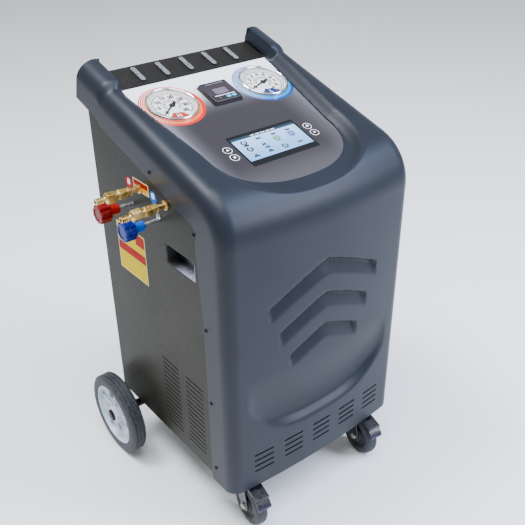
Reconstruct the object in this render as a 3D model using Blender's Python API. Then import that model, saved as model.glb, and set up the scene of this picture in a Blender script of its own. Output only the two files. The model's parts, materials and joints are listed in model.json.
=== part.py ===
"""Air conditioning service station: a wheeled cabinet with a moulded front cover, a sloping
control panel with two gauges, a printer, a display and keys, and the refrigerant circuit inside.

Metres. X points to the viewer's right, Y to the rear and Z up. Heights are above the floor.
Places on the sloping panel are given as (x, w, h): across, up the slope and out of it, from the
middle of the display.
"""
import math

import bmesh
import bpy
from mathutils import Matrix, Vector

# Clearances
GAP = 0.0003                    # between pieces that touch
RUNNING_GAP = 0.0004            # between a turning or sliding piece and its seat

# Sloping control panel
PANEL_SLOPE = math.radians(17.1)
PANEL_HEIGHT = 0.800            # floor to the middle of the display
PANEL_SHEET = 0.0025
PANEL_REAR = 0.257              # middle of the display to the rear edge, up the slope
PANEL_FRONT = 0.112             # middle of the display to the front edge, down the slope
PANEL_HALF_REAR = 0.182         # half width at the rear edge
PANEL_HALF_FRONT = 0.152        # half width where the front curve begins
PANEL_CURVE_START = 0.014       # where the front curve begins, up the slope
PANEL_CURVE_POWER = 2.4         # roundness of the front curve
PANEL_LEDGE = 0.008             # width of the ledge that carries the panel's edge

# Moulded front cover
BODY_WIDTH = 0.460              # over the two side panels
COVER_FRONT = 0.166             # middle of the display to the front face
COVER_BOTTOM = 0.123
COVER_WALL = 0.0035
COVER_BOW = 0.010               # how far the front face bows out between its corners
CORNER_RADIUS = 0.030
SHOULDER_RADIUS = 0.036
BROW_RADIUS = 0.110             # where the front face turns into the sloping top
RIDGE_HEIGHT = 0.022            # side ridges above the panel
CHEEK_HEIGHT = 0.031            # ridges beside the tray above the panel
CHEEK_LENGTH = 0.078            # of the cheeks, up the slope behind the panel
FLANGE_FRONT = 0.084            # side flange behind the front face
FLANGE_BROW = 0.098             # side flange where the brow begins
FLANGE_TOP = 0.078              # side flange under the top
FLANGE_WIDENS = 0.510           # height above which the side flange widens
RECESS_FRONT = 0.144            # where the recess runs out through the brow
RECESS_FLARE = 0.020            # how far the recess wall leans outwards
CHEEK_FLARE = 0.003             # how far the cheek's inner wall leans outwards

# Pressed chevrons on the cover's front
CHEVRON_TIPS = (0.615, 0.540, 0.467)
CHEVRON_HALF_WIDTHS = (0.139, 0.114, 0.088)
CHEVRON_DROP = 0.42             # fall of each arm over its length
CHEVRON_BAND = 0.046
CHEVRON_DEPTH = 0.008

# Smile shaped ledge above the vents
LEDGE_HALF_WIDTH = 0.186
LEDGE_LOW = 0.248
LEDGE_HIGH = 0.326
LEDGE_TOP = 0.392
LEDGE_DEPTH = 0.009

# Front vents
VENT_LENGTH = 0.049
VENT_HEIGHT = 0.0042
VENT_PITCH = 0.0772
VENT_GROUPS = 5
VENT_ROWS = 4
VENT_ROW_PITCH = 0.0146
VENT_TOP = 0.2095

# Sheet cabinet
BODY_BACK = 0.295               # middle of the display to the rear face
SHEET = 0.0015
CABINET_BOTTOM = 0.133
SIDE_TOP_DROP = 0.040           # side panel's top edge below the panel's plane
SIDE_FRONT = 0.118              # side panel's front edge before the display's middle
SIDE_LIP = 0.014
BACK_TOP = 0.846
BACK_LIP = 0.016

# Side louvres
LOUVRE_LENGTH = 0.062
LOUVRE_HEIGHT = 0.0030
LOUVRE_PITCH = 0.0123
LOUVRE_ROWS = 15
LOUVRE_TOP = 0.3425
LOUVRE_COLUMNS = (-0.027, 0.060)
HOOD_REACH = 0.0022

# Grip pockets in the sides
POCKET_Y = -0.010
POCKET_CLEARANCE = 0.014        # pocket's rim below the service manifold
POCKET_LENGTH = 0.095
POCKET_TALL = 0.044
POCKET_DEPTH = 0.030
POCKET_WALL = 0.002
POCKET_RIM = 0.006

# Rear tray between the cheeks
TRAY_WALL = 0.003
TRAY_LENGTH = 0.074
TRAY_RIBS = 5
TRAY_RIB_PITCH = 0.0585
TRAY_RIB_LENGTH = 0.050
TRAY_RIB_WIDTH = 0.011
TRAY_RIB_HEIGHT = 0.004

# Base
BASE_FRONT = 0.157
BASE_CHAMFER = 0.034
BASE_FLOOR = 0.003
BASE_WALL = 0.002
BASE_RIM = 0.026

# Rear wheels
WHEEL_RADIUS = 0.100
WHEEL_WIDTH = 0.038
WHEEL_STANDOFF = 0.026          # side panel's plane to the wheel's inner face
WHEEL_SIDES = 24
HUB_RADIUS = 0.076
HUB_WEB = 0.006
HUB_BOSS_RADIUS = 0.021
HUB_HOLES = 5
HUB_HOLE_RADIUS = 0.011
AXLE_Y = 0.250
AXLE_RADIUS = 0.010
AXLE_CAP_RADIUS = 0.015
AXLE_CAP = 0.005
SADDLE_INSET = 0.040            # side panel to the axle's saddle
SADDLE_THICK = 0.008
SADDLE_HALF = 0.019

# Castors
CASTOR_INSET = 0.062            # side panel to the swivel axis
CASTOR_Y = -0.098
CASTOR_TRAIL = 0.036
CASTOR_TURN = math.radians(-6.0)
CASTOR_RADIUS = 0.050
CASTOR_WIDTH = 0.030
CASTOR_PLATE_LENGTH = 0.076
CASTOR_PLATE_WIDTH = 0.090
CASTOR_PLATE = 0.004
CASTOR_RACE_RADIUS = 0.027
CASTOR_RACE = 0.010
CASTOR_KINGPIN = 0.008
FORK_SHEET = 0.003
FORK_SIDE_GAP = 0.0015
FORK_PIN_RADIUS = 0.005
FORK_EAR_RADIUS = 0.014
PEDAL_AHEAD = 0.024             # pedal pivot before the swivel axis
PEDAL_DROP = 0.0085             # pedal pivot below the fork's crown
PEDAL_REACH = 0.060
PEDAL_FALL = 0.007
PEDAL_BOSS = 0.005
LOBE_CLEARANCE = 0.009          # release lobe before the tyre
LOBE_THICK = 0.008
LOBE_ANGLES = (0.50, 0.95)      # release lobe around the wheel, from the front

# Gauges
GAUGE_X = 0.1135
GAUGE_W = 0.1747
BEZEL_RADIUS = 0.0535
BEZEL_HEIGHT = 0.0075
BEZEL_RIM = 0.0045
CASE_RADIUS = 0.0495
CASE_DEPTH = 0.038
DIAL_SINK = 0.0030
DIAL_THICK = 0.0010
LENS_THICK = 0.0018
POINTER_LENGTH = 0.040
POINTER_TAIL = 0.012
POINTER_THICK = 0.0008
POINTER_PIN = 0.0015
POINTER_HUB = 0.0050
HIGH_REST = math.radians(218.0)   # pointer at zero, turned from the panel's right
LOW_REST = math.radians(200.0)

# Display
DISPLAY_LENGTH = 0.162
DISPLAY_TALL = 0.092
DISPLAY_SHIFT = -0.004          # glass centre up the slope from the lit area's middle
GLASS_THICK = 0.0022
DISPLAY_BODY = 0.012
DISPLAY_MARGIN = 0.006

# Keys beside the display
KEY_X = 0.0985
KEY_ROWS = (0.0105, -0.0125)
KEY_RADIUS = 0.0078
KEY_PROUD = 0.0006
KEY_FLANGE = 0.0012
KEY_FLANGE_THICK = 0.0010

# Printer
PRINTER_W = 0.1730
PRINTER_SIZE = 0.070
PRINTER_PROUD = 0.0095
PRINTER_CHAMFER = 0.0035
PRINTER_BODY = 0.062
PRINTER_DEPTH = 0.044
PRINTER_STRIP = 0.020           # fixed strip with the keys, at the front
DOOR_THICK = 0.0025
DOOR_HINGE_RADIUS = 0.0022
ROLL_RADIUS = 0.016
ROLL_LENGTH = 0.050
ROLL_CORE = 0.006
FEED_KEY_X = (0.004, 0.0175)
FEED_KEY_LENGTH = 0.010
FEED_KEY_WIDTH = 0.0065
FEED_KEY_PROUD = 0.0012

# Service ports and their shut-off knobs on the left side
PORT_BELOW = 0.072              # unions below the middle of the display
LOW_PORT_Y = 0.025
HIGH_PORT_Y = 0.118
PORT_REACH = 0.094
PORT_SHANK_RADIUS = 0.0060
PORT_HEX_RADIUS = 0.0098
PORT_COLLAR_RADIUS = 0.0120
KNOB_BEHIND = 0.033             # knob axis behind its port
KNOB_BELOW = 0.044              # knob axis below its port
KNOB_STEM_RADIUS = 0.0050
KNOB_STEM_REACH = 0.066
KNOB_NECK_RADIUS = 0.0105
KNOB_NECK_START = 0.032
KNOB_NECK_LENGTH = 0.022
KNOB_RADIUS = 0.0195
KNOB_LENGTH = 0.024
KNOB_RIBS = 10
MANIFOLD_DEPTH = 0.038
MANIFOLD_MARGIN = 0.020

# Push handle, power inlet and switch on the back
HANDLE_HEIGHT = 0.772
HANDLE_INSET = 0.065            # side panel to the handle's leg
HANDLE_REACH = 0.042
HANDLE_RADIUS = 0.0110
HANDLE_FLANGE_RADIUS = 0.022
HANDLE_FLANGE = 0.004
INLET_INSET = 0.080             # side panel to the inlet's middle
INLET_HEIGHT = 0.215
INLET_FLANGE_WIDTH = 0.036
INLET_FLANGE_TALL = 0.066
INLET_FLANGE = 0.003
INLET_BODY_WIDTH = 0.029
INLET_BODY_TALL = 0.054
INLET_BODY_DEPTH = 0.030
SOCKET_WIDTH = 0.022
SOCKET_TALL = 0.014
SOCKET_DEPTH = 0.016
ROCKER_WIDTH = 0.020
ROCKER_TALL = 0.013
ROCKER_TILT = math.radians(11.0)

# Refrigerant circuit
TANK_MARGIN = 0.030             # side panel to the tank's wall
TANK_Y = 0.135
TANK_HEIGHT = 0.430
SCALE_MARGIN = 0.015            # scale's width beyond the tank's
SCALE_HEIGHT = 0.026
SCALE_PLATE = 0.006
COMPRESSOR_MARGIN = 0.037       # side panel to the compressor's shell
COMPRESSOR_Y = 0.180
COMPRESSOR_RADIUS = 0.068
COMPRESSOR_HEIGHT = 0.190
PUMP_MARGIN = 0.057             # side panel to the pump's side
PUMP_Y = 0.030
PUMP_LENGTH = 0.150
PUMP_RADIUS = 0.048
CONDENSER_WIDTH = 0.300
CONDENSER_TALL = 0.205
CONDENSER_THICK = 0.024
CONDENSER_FRONT = 0.138         # its front face before the display's middle
CONDENSER_FINS = 14
SHROUD_DEPTH = 0.022
FAN_RADIUS = 0.088
FAN_BLADES = 6
FAN_HUB_RADIUS = 0.024
FAN_HUB_LENGTH = 0.016
FAN_SHAFT = 0.003
DRIER_RADIUS = 0.026
DRIER_MARGIN = 0.054            # side panel to the drier
DRIER_LOW = 0.420
DRIER_LENGTH = 0.170
BOTTLE_RADIUS = 0.034
BOTTLE_X = -0.045
BOTTLE_LOW = 0.560
BOTTLE_HEIGHT = 0.150
SUPPLY_MARGIN = 0.070           # side panel to the supply
SUPPLY_LOW = 0.630
SUPPLY_WIDTH = 0.100
SUPPLY_TALL = 0.150
SUPPLY_DEPTH = 0.042
BOARD_THICK = 0.002

# Worked out from the sizes above
SLOPE_COS = math.cos(PANEL_SLOPE)
SLOPE_SIN = math.sin(PANEL_SLOPE)
FLUSH = GAP / 2                 # how far a relief stays off the face where it fades out
HALF_BODY = BODY_WIDTH / 2
COVER_HALF = HALF_BODY + GAP + COVER_WALL
COVER_FACE = -COVER_FRONT
FLOOR_TOP = CABINET_BOTTOM + BASE_FLOOR
PANEL_SEAT = PANEL_SHEET + GAP
PORT_HEIGHT = PANEL_HEIGHT - PORT_BELOW
KNOB_HEIGHT = PORT_HEIGHT - KNOB_BELOW
POCKET_HEIGHT = KNOB_HEIGHT - MANIFOLD_MARGIN - POCKET_CLEARANCE - POCKET_RIM - POCKET_TALL / 2
WHEEL_INNER = HALF_BODY + WHEEL_STANDOFF
SADDLE_X = HALF_BODY - SADDLE_INSET
CASTOR_X = HALF_BODY - CASTOR_INSET
INLET_X = HALF_BODY - INLET_INSET
HANDLE_HALF = HALF_BODY - HANDLE_INSET
TANK_RADIUS = (HALF_BODY - TANK_MARGIN) / 2
TANK_X = HALF_BODY - TANK_MARGIN - TANK_RADIUS
SCALE_SIZE = 2 * TANK_RADIUS + SCALE_MARGIN
COMPRESSOR_X = COMPRESSOR_RADIUS + COMPRESSOR_MARGIN - HALF_BODY
PUMP_X = PUMP_RADIUS + PUMP_MARGIN - HALF_BODY
DRIER_X = DRIER_RADIUS + DRIER_MARGIN - HALF_BODY
SUPPLY_X = HALF_BODY - SUPPLY_MARGIN - SUPPLY_WIDTH / 2
CASTOR_SPACE = CABINET_BOTTOM - GAP
PRINTER_FRONT_W = PRINTER_W - PRINTER_SIZE / 2
PRINTER_REAR_W = PRINTER_W + PRINTER_SIZE / 2

for leftover in list(bpy.data.objects):
    bpy.data.objects.remove(leftover, do_unlink=True)


def material(name, colour, roughness, metallic=0.0):
    """A Principled material with a linear base colour."""
    made = bpy.data.materials.new(name)
    made.use_nodes = True
    shader = made.node_tree.nodes["Principled BSDF"]
    shader.inputs["Base Color"].default_value = (*colour, 1.0)
    shader.inputs["Roughness"].default_value = roughness
    shader.inputs["Metallic"].default_value = metallic
    return made


def empty(name, place, parent=None, turn=0.0):
    """An empty that carries pieces, turned about X."""
    made = bpy.data.objects.new(name, None)
    bpy.context.collection.objects.link(made)
    made.parent = parent
    made.location = place
    made.rotation_euler.x = turn
    return made


STATION = empty("station", (0, 0, 0))
PANEL = empty("panel_frame", (0, 0, PANEL_HEIGHT), STATION, PANEL_SLOPE)


def add(name, mesh, finish, place=(0, 0, 0), parent=STATION, smooth=None):
    """Make an object of a bmesh, with its origin at the given place."""
    bmesh.ops.recalc_face_normals(mesh, faces=mesh.faces[:])
    data = bpy.data.meshes.new(name)
    mesh.to_mesh(data)
    mesh.free()
    if smooth:
        data.shade_smooth()
        data.set_sharp_from_angle(angle=math.radians(smooth))
    made = bpy.data.objects.new(name, data)
    bpy.context.collection.objects.link(made)
    made.parent = parent
    made.location = place
    if finish:
        made.data.materials.append(material(name, *finish))
    return made


def cutter(name, mesh, place=(0, 0, 0), parent=STATION):
    """A hidden object that only cuts others."""
    made = add(name, mesh, None, place, parent)
    made.hide_render = True
    made.display_type = "WIRE"
    return made


def combine(target, other, operation="DIFFERENCE"):
    """Cut one object with another, or join the two."""
    step = target.modifiers.new(other.name, "BOOLEAN")
    step.operation = operation
    step.solver = "EXACT"
    step.object = other
    return target


def box(mesh, low, high):
    """Add a box between two corners to a bmesh."""
    size = [b - a for a, b in zip(low, high)]
    middle = [(a + b) / 2 for a, b in zip(low, high)]
    place = Matrix.Translation(middle) @ Matrix.Diagonal((*size, 1.0))
    bmesh.ops.create_cube(mesh, size=1.0, matrix=place)
    return mesh


def boxes(*corners):
    """A bmesh of boxes, each given by two corners."""
    mesh = bmesh.new()
    for low, high in corners:
        box(mesh, low, high)
    return mesh


def loft(rings, closed=False):
    """Skin equal rings of points into one solid; an open skin gets end caps."""
    mesh = bmesh.new()
    rows = [[mesh.verts.new(point) for point in ring] for ring in rings]
    count = len(rows[0])
    pairs = list(zip(rows, rows[1:]))
    if closed:
        pairs.append((rows[-1], rows[0]))
    for first, second in pairs:
        for i in range(count):
            j = (i + 1) % count
            mesh.faces.new((first[i], first[j], second[j], second[i]))
    if not closed:
        mesh.faces.new(rows[0])
        mesh.faces.new(rows[-1])
    return mesh


def prism(outline, start, end, axis="X"):
    """Extrude an outline; its points are (y, z), (x, z) or (x, y) for axis X, Y or Z."""
    order = {"X": lambda a, b, c: (c, a, b), "Y": lambda a, b, c: (a, c, b), "Z": lambda a, b, c: (a, b, c)}
    place = order[axis]
    return loft([[place(a, b, level) for a, b in outline] for level in (start, end)])


def turned(profile, segments=32, axis="Z"):
    """Turn (radius, height) points about an axis; a radius of zero makes a pole."""
    mesh = bmesh.new()
    turns = {"Z": Matrix(), "X": Matrix.Rotation(math.pi / 2, 4, "Y"), "-X": Matrix.Rotation(-math.pi / 2, 4, "Y"),
             "Y": Matrix.Rotation(-math.pi / 2, 4, "X")}
    turn = turns[axis]
    rings = []
    for radius, height in profile:
        if radius == 0:
            rings.append([mesh.verts.new(turn @ Vector((0, 0, height)))])
            continue
        angles = [2 * math.pi * i / segments for i in range(segments)]
        rings.append([mesh.verts.new(turn @ Vector((radius * math.cos(a), radius * math.sin(a), height)))
                      for a in angles])
    closed = profile[0][0] != 0
    pairs = list(zip(rings, rings[1:])) + ([(rings[-1], rings[0])] if closed else [])
    for first, second in pairs:
        for i in range(segments):
            j = (i + 1) % segments
            corners = [first[i % len(first)], first[j % len(first)], second[j % len(second)], second[i % len(second)]]
            mesh.faces.new(list(dict.fromkeys(corners)))
    return mesh


def rounded(half_a, half_b, radius, steps=4):
    """Outline of a rectangle with rounded corners about the origin."""
    points = []
    for quarter, (sign_a, sign_b) in enumerate(((1, 1), (-1, 1), (-1, -1), (1, -1))):
        for i in range(steps + 1):
            angle = (quarter + i / steps) * math.pi / 2
            points.append((sign_a * (half_a - radius) + radius * math.cos(angle),
                           sign_b * (half_b - radius) + radius * math.sin(angle)))
    return points


def disc_outline(radius, middle=(0, 0), segments=24):
    """Outline of a circle."""
    return [(middle[0] + radius * math.cos(2 * math.pi * i / segments),
             middle[1] + radius * math.sin(2 * math.pi * i / segments)) for i in range(segments)]


# Front cover: a hood lofted along the front face, the brow and the sloping top
def crest(w, height):
    """Point of the YZ plane over the panel, w up the slope and height out of it."""
    return Vector((w * SLOPE_COS - height * SLOPE_SIN, PANEL_HEIGHT + w * SLOPE_SIN + height * SLOPE_COS))


def blend(value, start, end):
    """Smooth step from 0 at start to 1 at end."""
    t = min(1.0, max(0.0, (value - start) / (end - start)))
    return t * t * (3 - 2 * t)


def hood_profile(rear, low, brow_steps):
    """Points of the outer profile with their outward normals and how far round the brow each is."""
    corner = math.pi / 2 - PANEL_SLOPE
    reach = BROW_RADIUS * math.tan(corner / 2)
    line = crest(0, RIDGE_HEIGHT)
    corner_z = line.y + (COVER_FACE - line.x) * math.tan(PANEL_SLOPE)
    middle = Vector((COVER_FACE + BROW_RADIUS, corner_z - reach))
    stations = [(Vector((COVER_FACE, z)), Vector((-1, 0)), 0.0) for z in (low, FLANGE_WIDENS)]
    for i in range(brow_steps + 1):
        angle = corner * i / brow_steps
        normal = Vector((-math.cos(angle), math.sin(angle)))
        stations.append((middle + normal * BROW_RADIUS, normal, i / brow_steps))
    normal = Vector((-SLOPE_SIN, SLOPE_COS))
    start = PANEL_REAR - CHEEK_LENGTH / 4
    for w in (start, (start + PANEL_REAR) / 2, PANEL_REAR, rear):
        height = RIDGE_HEIGHT + (CHEEK_HEIGHT - RIDGE_HEIGHT) * blend(w, start, PANEL_REAR)
        stations.append((crest(w, height), normal, 1.0))
    return stations


def hood_section(station, inset, extra, corner_steps=4, face_steps=4):
    """Half loop of the hood at one station, from the flange's edge over the shoulder and across."""
    point, normal, turn = station
    radius = CORNER_RADIUS + (SHOULDER_RADIUS - CORNER_RADIUS) * turn
    flange = FLANGE_BROW + (FLANGE_TOP - FLANGE_BROW) * turn + extra
    if point.y <= FLANGE_WIDENS:
        flange = FLANGE_FRONT + extra
    bow = COVER_BOW * (1 - turn)
    flat = COVER_HALF - radius
    half = [(COVER_HALF - inset, flange)]
    for i in range(corner_steps + 1):
        angle = math.pi / 2 * i / corner_steps
        half.append((flat + (radius - inset) * math.cos(angle), bow + radius - (radius - inset) * math.sin(angle)))
    for i in range(1, face_steps):
        x = flat * (1 - i / face_steps)
        half.append((x, bow * (x / flat) ** 2 + inset))
    half.append((0.0, inset))
    whole = half + [(-x, depth) for x, depth in reversed(half[:-1])]
    return [(x, point.x - normal.x * depth, point.y - normal.y * depth) for x, depth in whole]


def hood(inset, extra, low, rear, brow_steps):
    """Solid inside the cover's surface, inset by a wall."""
    return loft([hood_section(station, inset, extra) for station in hood_profile(rear, low, brow_steps)])


def panel_outline(front, grow=0.0, half_rear=PANEL_HALF_REAR, rear=PANEL_REAR, steps=12):
    """Outline (x, w) of the control panel: straight sides and a round front."""
    half = [(half_rear + grow, rear + grow), (PANEL_HALF_FRONT + grow, PANEL_CURVE_START)]
    reach = front + grow + PANEL_CURVE_START
    for i in range(1, steps):
        angle = math.pi / 2 * i / steps
        share = math.sin(angle) ** (2 / PANEL_CURVE_POWER)
        wide = math.cos(angle) ** (2 / PANEL_CURVE_POWER)
        half.append(((PANEL_HALF_FRONT + grow) * wide, PANEL_CURVE_START - reach * share))
    half.append((0.0, PANEL_CURVE_START - reach))
    return half + [(-x, w) for x, w in reversed(half[:-1])]


def recess_cutter(name, grow, sink):
    """Cutter for the recess: its wall leans outwards, less so between the cheeks."""
    beyond = CHEEK_LENGTH * 2
    levels = ((-sink, 0.0), (0.30 * RIDGE_HEIGHT, 0.22), (0.65 * RIDGE_HEIGHT, 0.55), (RIDGE_HEIGHT, 1.0),
              (3 * RIDGE_HEIGHT, 2.4))
    rings = []
    for height, lean in levels:
        front = panel_outline(RECESS_FRONT, grow + RECESS_FLARE * lean)
        half_rear = PANEL_HALF_REAR + grow + CHEEK_FLARE * (1 + min(lean, 1.0))
        side = [(half_rear, PANEL_REAR + beyond), (half_rear, PANEL_REAR)]
        loop = side + [(min(front[0][0], half_rear + RECESS_FLARE * lean * 0.6), PANEL_REAR - CHEEK_LENGTH / 2)]
        loop = loop + front[1:-1] + [(-x, w) for x, w in reversed(loop)]
        rings.append([(x, w, height) for x, w in loop])
    return cutter(name, loft(rings), parent=PANEL)


def face_depth(x):
    """How far the bowed front face lies behind its middle at x."""
    flat = COVER_HALF - CORNER_RADIUS
    return COVER_BOW * (x / flat) ** 2


def wedge(name, stations, shift):
    """Cutter under a run of (x, low, high, depth_low, depth_high) stations on the front face."""
    rings = []
    for x, low, high, depth_low, depth_high in stations:
        face = COVER_FACE + face_depth(x) + shift
        outside = COVER_FACE - 0.02
        rings.append([(x, outside, low), (x, outside, high), (x, face + depth_high, high), (x, face + depth_low, low)])
    return cutter(name, loft(rings))


def chevron_stations(tip, half_width, steps=5):
    """Stations of one chevron: deep under its upper crease and flush at its lower edge."""
    stations = []
    for i in range(-steps, steps + 1):
        share = abs(i) / steps
        x = half_width * i / steps
        high = tip - CHEVRON_DROP * half_width * (share ** 1.25)
        fade = 1 - 0.55 * share
        stations.append((x, high - CHEVRON_BAND, high, -FLUSH, CHEVRON_DEPTH * fade))
    return stations


def ledge_stations(steps=8):
    """Stations of the smile shaped ledge: deep at its lower edge, flush at the top and at both ends."""
    stations = []
    for i in range(-steps, steps + 1):
        share = abs(i) / steps
        low = LEDGE_LOW + (LEDGE_HIGH - LEDGE_LOW) * share ** 3.2
        depth = LEDGE_DEPTH * (1 - share ** 2.5) - FLUSH
        stations.append((LEDGE_HALF_WIDTH * i / steps, low, LEDGE_TOP, depth, -FLUSH))
    return stations


def front_relief(shift, tag):
    """Cutters of the chevrons and the ledge, moved back by shift."""
    made = []
    for number, (tip, half_width) in enumerate(zip(CHEVRON_TIPS, CHEVRON_HALF_WIDTHS)):
        made.append(wedge(f"chevron_{tag}_{number}", chevron_stations(tip, half_width), shift))
    made.append(wedge(f"ledge_{tag}", ledge_stations(), shift))
    return made


def vent_cutter():
    """All front vents in one cutter."""
    corners = []
    for group in range(VENT_GROUPS):
        x = (group - (VENT_GROUPS - 1) / 2) * VENT_PITCH
        for row in range(VENT_ROWS):
            z = VENT_TOP - row * VENT_ROW_PITCH
            corners.append(((x - VENT_LENGTH / 2, COVER_FACE - 0.01, z - VENT_HEIGHT / 2),
                            (x + VENT_LENGTH / 2, COVER_FACE + 0.04, z + VENT_HEIGHT / 2)))
    return cutter("front_vents", boxes(*corners))


def front_cover():
    """Moulded cover: a hood of even wall with its recess, relief, panel seat and vents."""
    rear = PANEL_REAR + CHEEK_LENGTH
    cover = add("front_cover", hood(0.0, 0.0, COVER_BOTTOM, rear, 9), ((0.055, 0.065, 0.085), 0.55), smooth=35)
    core = cutter("cover_core", hood(COVER_WALL, 2 * COVER_WALL, COVER_BOTTOM - 0.02, rear - COVER_WALL, 8))
    combine(core, recess_cutter("recess_inner", COVER_WALL, PANEL_SEAT + COVER_WALL))
    for piece in front_relief(COVER_WALL, "inner"):
        combine(core, piece)
    combine(cover, recess_cutter("recess_outer", 0.0, 0.0))
    for piece in front_relief(0.0, "outer"):
        combine(cover, piece)
    combine(cover, core)
    seat = [(x, w, h) for h in (-PANEL_SEAT, RIDGE_HEIGHT / 8) for x, w in panel_outline(PANEL_FRONT, GAP)]
    count = len(seat) // 2
    combine(cover, cutter("panel_seat", loft([seat[:count], seat[count:]]), parent=PANEL))
    window = panel_outline(PANEL_FRONT, -PANEL_LEDGE)
    rings = [[(x, w, h) for x, w in window] for h in (-0.03, RIDGE_HEIGHT / 6)]
    combine(cover, cutter("panel_window", loft(rings), parent=PANEL))
    half = PANEL_HALF_REAR + CHEEK_FLARE
    opening = boxes(((-half, PANEL_REAR - GAP, -2 * FLANGE_TOP), (half, PANEL_REAR + CHEEK_LENGTH * 1.5, RIDGE_HEIGHT)))
    combine(cover, cutter("tray_window", opening, parent=PANEL))
    combine(cover, vent_cutter())


# Control panel and what it carries
def control_panel():
    """Flat panel with cut-outs for the gauges, the printer, the display and the keys."""
    outline = panel_outline(PANEL_FRONT)
    rings = [[(x, w, h) for x, w in outline] for h in (-PANEL_SHEET, 0.0)]
    panel = add("control_panel", loft(rings), ((0.12, 0.12, 0.13), 0.35), parent=PANEL)
    holes = bmesh.new()
    half = DISPLAY_LENGTH / 2 + GAP
    tall = DISPLAY_TALL / 2 + GAP
    box(holes, (-half, DISPLAY_SHIFT - tall, -0.01), (half, DISPLAY_SHIFT + tall, 0.01))
    half = PRINTER_BODY / 2 + GAP
    box(holes, (-half, PRINTER_W - half, -0.01), (half, PRINTER_W + half, 0.01))
    combine(panel, cutter("panel_square_holes", holes, parent=PANEL))
    for side, sign in (("left", -1), ("right", 1)):
        hole = turned([(0, -0.01), (CASE_RADIUS + GAP, -0.01), (CASE_RADIUS + GAP, 0.01), (0, 0.01)], 24)
        combine(panel, cutter(f"gauge_hole_{side}", hole, (sign * GAUGE_X, GAUGE_W, 0), PANEL))
        for row, w in enumerate(KEY_ROWS):
            hole = turned([(0, -0.01), (KEY_RADIUS + RUNNING_GAP, -0.01), (KEY_RADIUS + RUNNING_GAP, 0.01), (0, 0.01)], 16)
            combine(panel, cutter(f"key_hole_{side}_{row}", hole, (sign * KEY_X, w, 0), PANEL))


def gauge(tag, sign, rest):
    """Pressure gauge: case with its bezel, dial with its pin, pointer and lens."""
    place = (sign * GAUGE_X, GAUGE_W, 0)
    cavity = BEZEL_RADIUS - BEZEL_RIM
    dial_top = -DIAL_SINK + DIAL_THICK
    case = [(0, -CASE_DEPTH), (CASE_RADIUS, -CASE_DEPTH), (CASE_RADIUS, GAP), (BEZEL_RADIUS, GAP),
            (BEZEL_RADIUS, BEZEL_HEIGHT - 0.0018), (BEZEL_RADIUS - 0.0015, BEZEL_HEIGHT), (cavity, BEZEL_HEIGHT),
            (cavity, -DIAL_SINK - GAP), (0, -DIAL_SINK - GAP)]
    add(f"{tag}_gauge_case", turned(case, 24), ((0.75, 0.75, 0.72), 0.15, 1.0), place, PANEL, 40)
    pin_top = dial_top + RUNNING_GAP + POINTER_THICK
    dial = [(0, -DIAL_SINK), (cavity - GAP, -DIAL_SINK), (cavity - GAP, dial_top), (POINTER_PIN, dial_top),
            (POINTER_PIN, pin_top), (0, pin_top)]
    add(f"{tag}_gauge_dial", turned(dial, 24), ((0.85, 0.85, 0.82), 0.5), place, PANEL)
    top = BEZEL_HEIGHT - 0.0008
    lens = [(0, top - LENS_THICK), (cavity - GAP, top - LENS_THICK), (cavity - GAP, top), (0, top)]
    add(f"{tag}_gauge_lens", turned(lens, 24), ((0.9, 0.9, 0.9), 0.05), place, PANEL)
    pointer(tag, place, dial_top + RUNNING_GAP, rest)


def pointer(tag, place, height, rest):
    """Tapered pointer with a round hub, bored for the dial's pin."""
    outline = []
    for i in range(13):
        angle = math.pi * (0.5 + i / 12) - math.pi * 0.04 * (i / 6 - 1)
        outline.append((POINTER_HUB * math.cos(angle), POINTER_HUB * math.sin(angle)))
    tail = [(-POINTER_TAIL, 0.0016), (-POINTER_TAIL, -0.0016)]
    outline = outline[:6] + tail + outline[7:] + [(POINTER_LENGTH, -0.0003), (POINTER_LENGTH, 0.0003)]
    made = add(f"{tag}_gauge_pointer", prism(outline, height, height + POINTER_THICK, "Z"),
               ((0.02, 0.02, 0.02), 0.4), place, PANEL)
    made.rotation_euler.z = rest
    bore = turned([(0, -0.01), (POINTER_PIN + RUNNING_GAP, -0.01), (POINTER_PIN + RUNNING_GAP, 0.01), (0, 0.01)], 10)
    combine(made, cutter(f"{tag}_pointer_bore", bore, place, PANEL))


def display():
    """Display module behind the panel and its glass in the panel's cut-out."""
    half = DISPLAY_LENGTH / 2
    tall = DISPLAY_TALL / 2
    glass = boxes(((-half, DISPLAY_SHIFT - tall, -GLASS_THICK), (half, DISPLAY_SHIFT + tall, 0.0)))
    add("display_glass", glass, ((0.02, 0.03, 0.04), 0.08), parent=PANEL)
    half = DISPLAY_LENGTH / 2 + DISPLAY_MARGIN - 0.002
    tall = DISPLAY_TALL / 2 + DISPLAY_MARGIN
    top = -PANEL_SHEET - GAP
    body = boxes(((-half, DISPLAY_SHIFT - tall, top - DISPLAY_BODY), (half, DISPLAY_SHIFT + tall, top)))
    add("display_module", body, ((0.03, 0.03, 0.03), 0.6), parent=PANEL)


def control_keys():
    """Four round keys, each with a flange that keeps it behind the panel."""
    low = -PANEL_SHEET - RUNNING_GAP - KEY_FLANGE_THICK
    profile = [(0, low), (KEY_RADIUS + KEY_FLANGE, low), (KEY_RADIUS + KEY_FLANGE, low + KEY_FLANGE_THICK),
               (KEY_RADIUS, low + KEY_FLANGE_THICK), (KEY_RADIUS, KEY_PROUD), (0, KEY_PROUD)]
    for side, sign in (("left", -1), ("right", 1)):
        for row, w in zip(("upper", "lower"), KEY_ROWS):
            add(f"key_{side}_{row}", turned(profile, 14), ((0.1, 0.1, 0.11), 0.35), (sign * KEY_X, w, 0), PANEL)


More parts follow.
